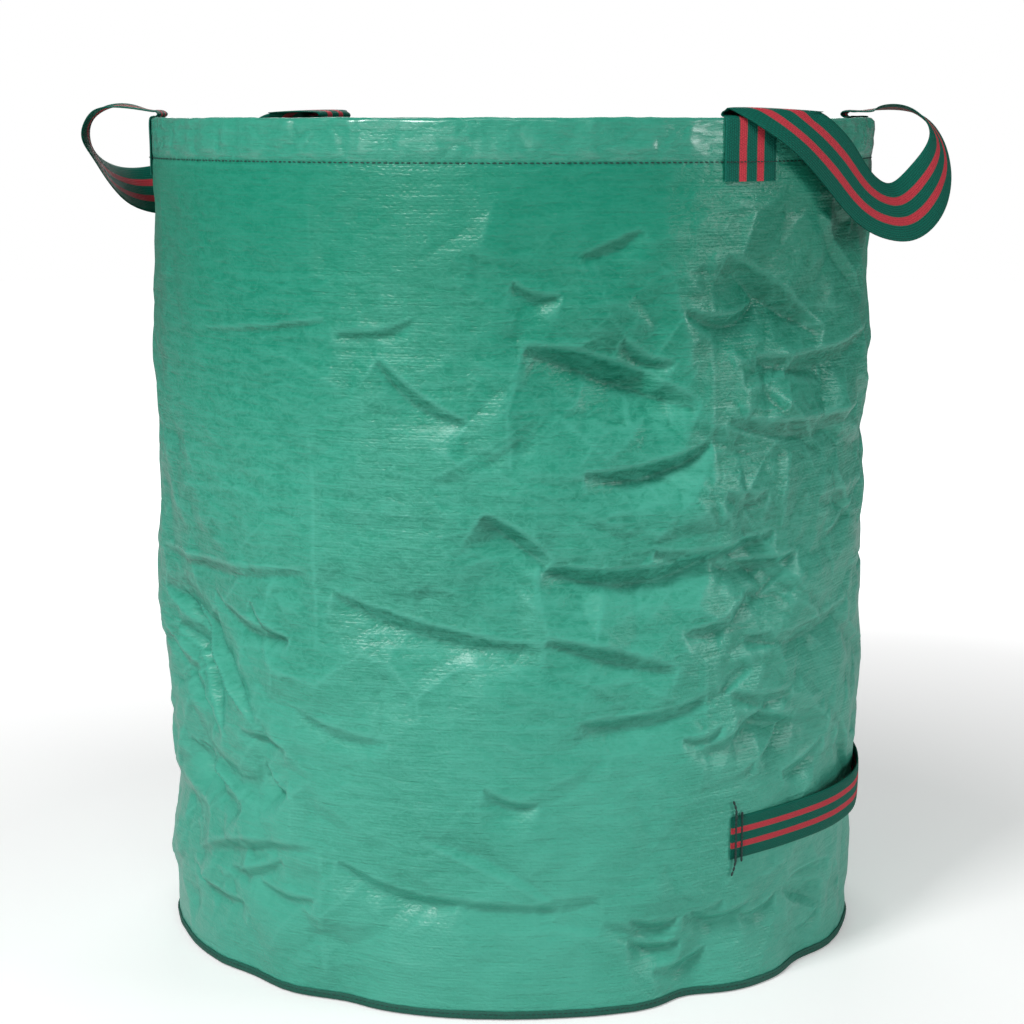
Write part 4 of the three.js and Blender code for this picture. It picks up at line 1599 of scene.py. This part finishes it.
@dataclass
class CarryHandle:
    """A carry handle: two sewn ends folded over the rim and a limp loop between them."""

    name: str
    size: BagSize
    loop: tuple
    headings: tuple[float, float]
    bearing: float
    tail: float = 0.052
    fold_gap: float = 0.0024

    def place(
        self,
        degrees: float,
        out: float,
        rise: float,
        across: tuple,
        hug: float = 0.0,
        slanted: bool = False,
    ) -> Station:
        """A station from its bearing, distances in millimetres and direction across.

        Args:
            degrees: Bearing from the handle's middle.
            out: Distance outside the rim.
            rise: Height above the rim.
            across: Radial, round and upward parts of the line across.
            hug: How far the band bends to the wall.
            slanted: Whether the line across stays at an angle to the band.

        Returns:
            The station.
        """
        angle = math.radians(degrees + self.bearing)
        ray = np.array([math.cos(angle), math.sin(angle), 0.0])
        tangent = np.array([-math.sin(angle), math.cos(angle), 0.0])
        side = ray * across[0] + tangent * across[1] + np.array([0.0, 0.0, across[2]])
        centre = ray * (self.size.rim_radius + out * MM)
        centre[2] = self.size.height + rise * MM
        return Station(centre, side, hug, slanted)

    def end(self, side: int, heading: float) -> list[Station]:
        """Stations of one sewn end.

        Args:
            side: -1 or 1 for the end's place.
            heading: Angle in degrees at which the strap leaves, from straight outwards.

        Returns:
            Stations from the sewn tail to the rim.
        """
        size = self.size
        seat = size.seat / MM
        bend = size.hem_bend / MM
        corner = (bend + seat) * math.cos(math.pi / 4) - bend
        roll = (size.strap_thickness + self.fold_gap) / 2 / MM
        second = seat + 2 * roll
        slant = math.radians((180 + heading) / 2)
        away = math.radians(heading)
        fold_out = size.carry_width / MM / 2 / math.tan(slant) - 2 * bend
        shift = math.pi / 2 * roll * -math.cos(slant) / math.sin(slant)
        fold_line = (math.cos(slant) / math.sin(slant), 1.0, 0.0)
        hem_line = (0.0, 1 / math.cos(away), 0.0)

        def at(round_: float, out: float, rise: float, across: tuple, hug: float = 0.0) -> Station:
            turned = math.degrees(round_ * MM / size.rim_radius)
            degrees = side * size.carry_end_angle - side * turned
            line = (across[0], -side * across[1], across[2])
            return self.place(degrees, out, rise, line, hug, True)

        fold_round = 2 * shift * math.sin(slant)
        fold_end = fold_out + 2 * shift * math.cos(slant)
        crossing = fold_round + (-bend - fold_end) * math.tan(away)
        upright = (0.0, 1.0, 0.0)
        return [
            at(0, seat, -self.tail / MM, upright, 1.0),
            at(0, seat, -self.tail / MM / 2, upright, 1.0),
            at(0, seat, -bend, upright, 1.0),
            at(0, corner, corner, upright, 1.0),
            at(0, -bend, seat, upright, 0.6),
            at(0, fold_out, seat, fold_line),
            at(
                shift * math.sin(slant),
                fold_out - roll * math.sin(slant) + shift * math.cos(slant),
                seat + roll,
                fold_line,
            ),
            at(fold_round, fold_end, second, fold_line),
            at(crossing, -bend, second, hem_line),
        ]

    def build(self, material: Material) -> Piece:
        """Makes the handle.

        Args:
            material: The webbing's finish.

        Returns:
            The piece.
        """
        stations = self.end(-1, self.headings[0])
        stations += [self.place(*row) for row in self.loop]
        stations += self.end(1, self.headings[1])[::-1]
        return Strap(self.name, self.size, self.size.carry_width, stations, held=8).build(material)

    def stitch_rows(self) -> list[StitchRow]:
        """Stitch lines across both sewn ends, with their normals."""
        size = self.size
        half = math.degrees((size.carry_width / 2 - 2.5 * MM) / size.rim_radius)
        rows = []
        for end in (-size.carry_end_angle, size.carry_end_angle):
            middle = self.bearing + end
            degrees = np.linspace(middle - half, middle + half, 24)
            radius = size.rim_radius + size.clearance + size.strap_thickness
            points = polar(degrees, radius, size.stitch_height)
            rows.append((points, polar(degrees, 1.0, 0.0), False))
        return rows


RIGHT_LOOP = (
    (-20.7, 6, -8, (-0.25, 1.17, 0.43), 0.0, True),
    (-17, 10, -22, (-0.12, 0.6, 0.79)),
    (-12.5, 13, -40, (0, 0.6, 0.8)),
    (-8.5, 16, -59, (0, 0.66, 0.75)),
    (-4.5, 24, -76, (-0.1, 0.55, 0.82)),
    (1.5, 38, -84, (-0.4, 0.1, 0.88)),
    (8, 52, -66, (-0.55, -0.4, 0.7)),
    (13.5, 64, -34, (-0.3, -0.78, 0.54)),
    (19, 50, -2, (-0.35, -0.9, 0.25)),
    (23.5, 26, 9, (-0.58, -0.81, 0.06)),
)
LEFT_LOOP = (
    (-22.7, 6, -8, (-0.25, 0.98, 0.43), 0.0, True),
    (-19.6, 10, -21, (-0.12, 0.6, 0.79)),
    (-13.5, 14, -38, (0, 0.5, 0.87)),
    (-7, 22, -56, (0, -0.1, 1)),
    (0, 35, -70, (0.15, -0.65, 0.74)),
    (7.5, 48, -72, (0.25, -0.85, 0.46)),
    (14, 56, -62, (0.3, -0.9, 0.3)),
    (18.5, 62, -44, (0.3, -0.93, 0.16)),
    (21, 66, -22, (0.25, -0.96, 0.05)),
    (22.8, 62, -4, (0.1, -1, 0)),
    (24.5, 45, 8, (0, -1, 0)),
    (26.2, 29, 10, (0, -1, 0)),
)


@dataclass
class TippingHandle:
    """The level strap near the base, sewn at both ends and bowed between them."""

    form: WallForm
    bow: float = 0.009
    tab: float = 0.034
    spans: int = 24

    def surface(self, degrees: Array) -> Array:
        """Radius of the strap's middle layer at bearings."""
        size = self.form.size
        free = size.tipping_end_angle - math.degrees(self.tab / size.rim_radius)
        share = np.minimum(1.0, np.abs(degrees) / free)
        bow = self.bow * np.cos(math.pi / 2 * share) ** 2
        return self.form.plain_radius(size.tipping_height) + size.seat + bow

    def build(self, material: Material) -> Piece:
        """Makes the strap.

        Args:
            material: The webbing's finish.

        Returns:
            The piece.
        """
        size = self.form.size
        half = size.tipping_width / 2
        above, below = (
            self.form.plain_radius(size.tipping_height + edge) for edge in (half, -half)
        )
        lean = above - below
        stations = []
        for degrees in np.linspace(-size.tipping_end_angle, size.tipping_end_angle, self.spans + 1):
            centre = polar(degrees, self.surface(np.array(degrees)), size.tipping_height)
            ray = polar(degrees, 1.0, 0.0)
            stations.append(Station(centre, ray * lean + np.array([0.0, 0.0, size.tipping_width])))
        width = size.tipping_width
        strap = Strap(
            "tipping_handle_webbing", size, width, stations, steps=5, across_steps=14, cup=0.0004
        )
        return strap.build(material)

    def stitch_rows(self) -> list[StitchRow]:
        """Upright double rows at each end, with their normals."""
        size = self.form.size
        rows = []
        for side in (-1, 1):
            for inset in (0.0045, 0.0115):
                degrees = side * (size.tipping_end_angle - math.degrees(inset / size.rim_radius))
                z = np.linspace(-0.5, 0.5, 16) * (size.tipping_width + 0.003) + size.tipping_height
                radius = self.surface(np.array(degrees)) + size.strap_thickness / 2
                normal = np.tile(polar(degrees, 1.0, 0.0), (len(z), 1))
                rows.append((polar(degrees, radius, z), normal, False))
            rows += [self.tail(side, 1), self.tail(side, -1)]
        return rows

    def tail(self, side: int, up: int) -> StitchRow:
        """A loose end of thread past the strap's edge, with its normals.

        Args:
            side: -1 or 1 for the strap's end.
            up: 1 above the strap or -1 below it.

        Returns:
            Points, normals and that the line is open.
        """
        size = self.form.size
        share = np.linspace(0.0, 1.0, 8)
        start = size.tipping_end_angle - math.degrees(0.0045 / size.rim_radius)
        degrees = side * (start + 0.5 * share**2)
        z = size.tipping_height + up * (size.tipping_width / 2 + 0.013 * share)
        radius = self.form.plain_radius(z) + size.seat + 0.0012 - 0.0006 * share
        return polar(degrees, radius, z), polar(degrees, 1.0, 0.0), False


# Stage


@dataclass(frozen=True)
class Lamp:
    """A square soft box aimed at the bag, with its bearing in degrees from the camera's."""

    name: str
    aside: float
    distance: float
    height: float
    across: float
    watts: float

    def build(self, camera_bearing: float) -> None:
        """Adds the lamp.

        Args:
            camera_bearing: Bearing of the camera, in degrees.
        """
        data = bpy.data.lights.new(self.name, "AREA")
        data.shape = "SQUARE"
        data.size = self.across
        data.energy = self.watts
        lamp = bpy.data.objects.new(self.name, data)
        bpy.context.collection.objects.link(lamp)
        lamp.visible_camera = False
        lamp.location = polar(camera_bearing + self.aside, self.distance, self.height).tolist()
        aim = Vector((0.0, 0.0, 0.4)) - lamp.location
        lamp.rotation_euler = aim.to_track_quat("-Z", "Y").to_euler()


LAMPS = (
    Lamp("key", -34, 2.4, 2.5, 0.8, 65.0),
    Lamp("fill", 70, 2.6, 0.9, 0.9, 17.0),
    Lamp("low", -30, 2.7, 0.6, 1.4, 9.0),
    Lamp("top", -4, 1.5, 3.0, 0.8, 8.0),
    Lamp("back", 180, 2.8, 1.8, 1.6, 25.0),
)


@dataclass(frozen=True)
class Stage:
    """Floor, backdrop, lamps and camera."""

    camera_distance: float = 2.2
    camera_bearing: float = -66.0
    camera_height: float = 0.760
    camera_dip: float = 9.692
    lens: float = 81.21
    ambient: float = 0.12

    def camera(self) -> None:
        """Adds the camera and makes it the scene's own."""
        data = bpy.data.cameras.new("camera")
        data.lens = self.lens
        data.sensor_width = 36.0
        camera = bpy.data.objects.new("camera", data)
        bpy.context.collection.objects.link(camera)
        place = polar(self.camera_bearing, self.camera_distance, self.camera_height)
        camera.location = place.tolist()
        camera.rotation_euler = (
            math.radians(90 - self.camera_dip),
            0.0,
            math.radians(self.camera_bearing + 90),
        )
        bpy.context.scene.camera = camera

    def seen_white(self, sketch: NodeSketch) -> Socket:
        """A value of 1 for rays that show the background itself."""
        path = sketch.add("ShaderNodeLightPath").outputs
        shown = sketch.math("MULTIPLY_ADD", path["Is Glossy Ray"], 0.05, path["Is Camera Ray"])
        return sketch.math("MAXIMUM", shown, path["Is Transmission Ray"])

    def world(self) -> None:
        """Soft even light, with a white background."""
        world = bpy.data.worlds.new("studio")
        bpy.context.scene.world = world
        world.use_nodes = True
        sketch = NodeSketch(world.node_tree)
        background = world.node_tree.nodes["Background"]
        background.inputs["Color"].default_value = (1.0, 1.0, 1.0, 1.0)
        strength = sketch.ramp(self.seen_white(sketch), 0.0, 1.0, self.ambient, 1.0)
        world.node_tree.links.new(strength, background.inputs["Strength"])

    def floor(self) -> None:
        """A wide pale floor that keeps the bag's shadow."""
        material, sketch, shader = start_material("studio_floor")
        shader["Base Color"].default_value = (0.86, 0.86, 0.86, 1.0)
        shader["Roughness"].default_value = 0.9
        shader["Specular IOR Level"].default_value = 0.1
        shader["Emission Color"].default_value = (1.0, 1.0, 1.0, 1.0)
        place = sketch.add("ShaderNodeTexCoord").outputs["Object"]
        away = sketch.add("ShaderNodeVectorMath", {0: place}, operation="LENGTH").outputs["Value"]
        glow = sketch.ramp(away, 0.6, 2.4, 0.3, 1.0)
        seen = sketch.math("MULTIPLY", glow, self.seen_white(sketch))
        sketch.link(seen, shader["Emission Strength"])
        points = polar(bearings(96), 9.0, -0.0004)
        floor = mesh_object("studio_floor", points, [list(range(96))], material)

    def build(self) -> None:
        """Sets the whole stage."""
        self.camera()
        self.world()
        self.floor()
        for lamp in LAMPS:
            lamp.build(self.camera_bearing)
        bpy.context.scene.view_settings.view_transform = "Standard"


# The binding tape's dark colour is partly painted shade for the foot of the wall.
TAPE = Finish("binding_tape", (0.004, 0.075, 0.05), (0.008, 0.13, 0.09), 0.7, 900.0, 0.0004)
THREAD = Finish("dark_thread", (0.006, 0.02, 0.018), (0.012, 0.05, 0.042), 0.65, 1500.0, 0.0002)
HOOP = Finish("hoop_plastic", (0.01, 0.014, 0.013), (0.02, 0.026, 0.024), 0.5, 300.0, 0.0002)


def main() -> None:
    """Builds the bag piece by piece and sets the stage."""
    logging.basicConfig(level=logging.INFO, format="%(name)s: %(message)s")
    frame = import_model()
    size = BagSize()
    form = WallForm(size)
    Stage().build()

    weave, streaks, ribs, grain = weave_group(), streak_group(), rib_group(), grain_group()
    cloth = LaminateFinish().build(weave, streaks)
    webbing = WebbingFinish().build(ribs)
    tape, thread, hoop = (finish.build(grain) for finish in (TAPE, THREAD, HOOP))
    frame["nodes"]["rim_hoop"].data.materials.clear()
    frame["nodes"]["rim_hoop"].data.materials.append(hoop)

    sides = [fit(sheet, Slot.CLOTH, "side_panel") for sheet in SidePanel(form).build(cloth)]
    base = fit(BasePanel(form).build(cloth), Slot.CLOTH, "base_panel")
    binding = BaseBinding(form)
    band = fit(binding.build(tape), Slot.TAPE, "base_binding")

    right = CarryHandle("right_carry_webbing", size, RIGHT_LOOP, (58.0, 40.0), 0.0)
    left = CarryHandle("left_carry_webbing", size, LEFT_LOOP, (52.0, 14.0), 180.0)
    tipping = TippingHandle(form)
    fit(right.build(webbing), Slot.WEBBING, "right_carry_handle")
    fit(left.build(webbing), Slot.WEBBING, "left_carry_handle")
    fit(tipping.build(webbing), Slot.WEBBING, "tipping_handle")

    stitches = StitchTree()
    degrees = bearings(1440)
    hem_points = polar(degrees, size.rim_radius - 0.6 * MM, size.stitch_height)
    hem_line = (hem_points, polar(degrees, 1.0, 0.0), True)
    hem_sizes = {"Pitch": 0.005, "Length": 0.0038, "Thread": 0.00055, "Lift": 0.0}
    hem = fit(stitches.lay("hem_stitches", [hem_line], hem_sizes, thread), Slot.TAPE)
    tape_sizes = {"Pitch": 0.0046, "Length": 0.0034, "Thread": 0.0004, "Lift": 0.0}
    rows = [binding.stitch_line()]
    edging = fit(stitches.lay("binding_stitches", rows, tape_sizes, thread), Slot.TAPE)
    strap_sizes = {"Pitch": 0.0036, "Length": 0.0032, "Thread": 0.0005, "Lift": 0.0002}
    rows = right.stitch_rows() + left.stitch_rows()
    fit(stitches.lay("carry_handle_stitches", rows, strap_sizes, thread), Slot.TAPE)
    tack_sizes = {"Pitch": 0.0034, "Length": 0.0046, "Thread": 0.0011, "Lift": 0.0005}
    rows = tipping.stitch_rows()
    fit(stitches.lay("tipping_handle_stitches", rows, tack_sizes, thread), Slot.TAPE)


if __name__ == "__main__":
    main()
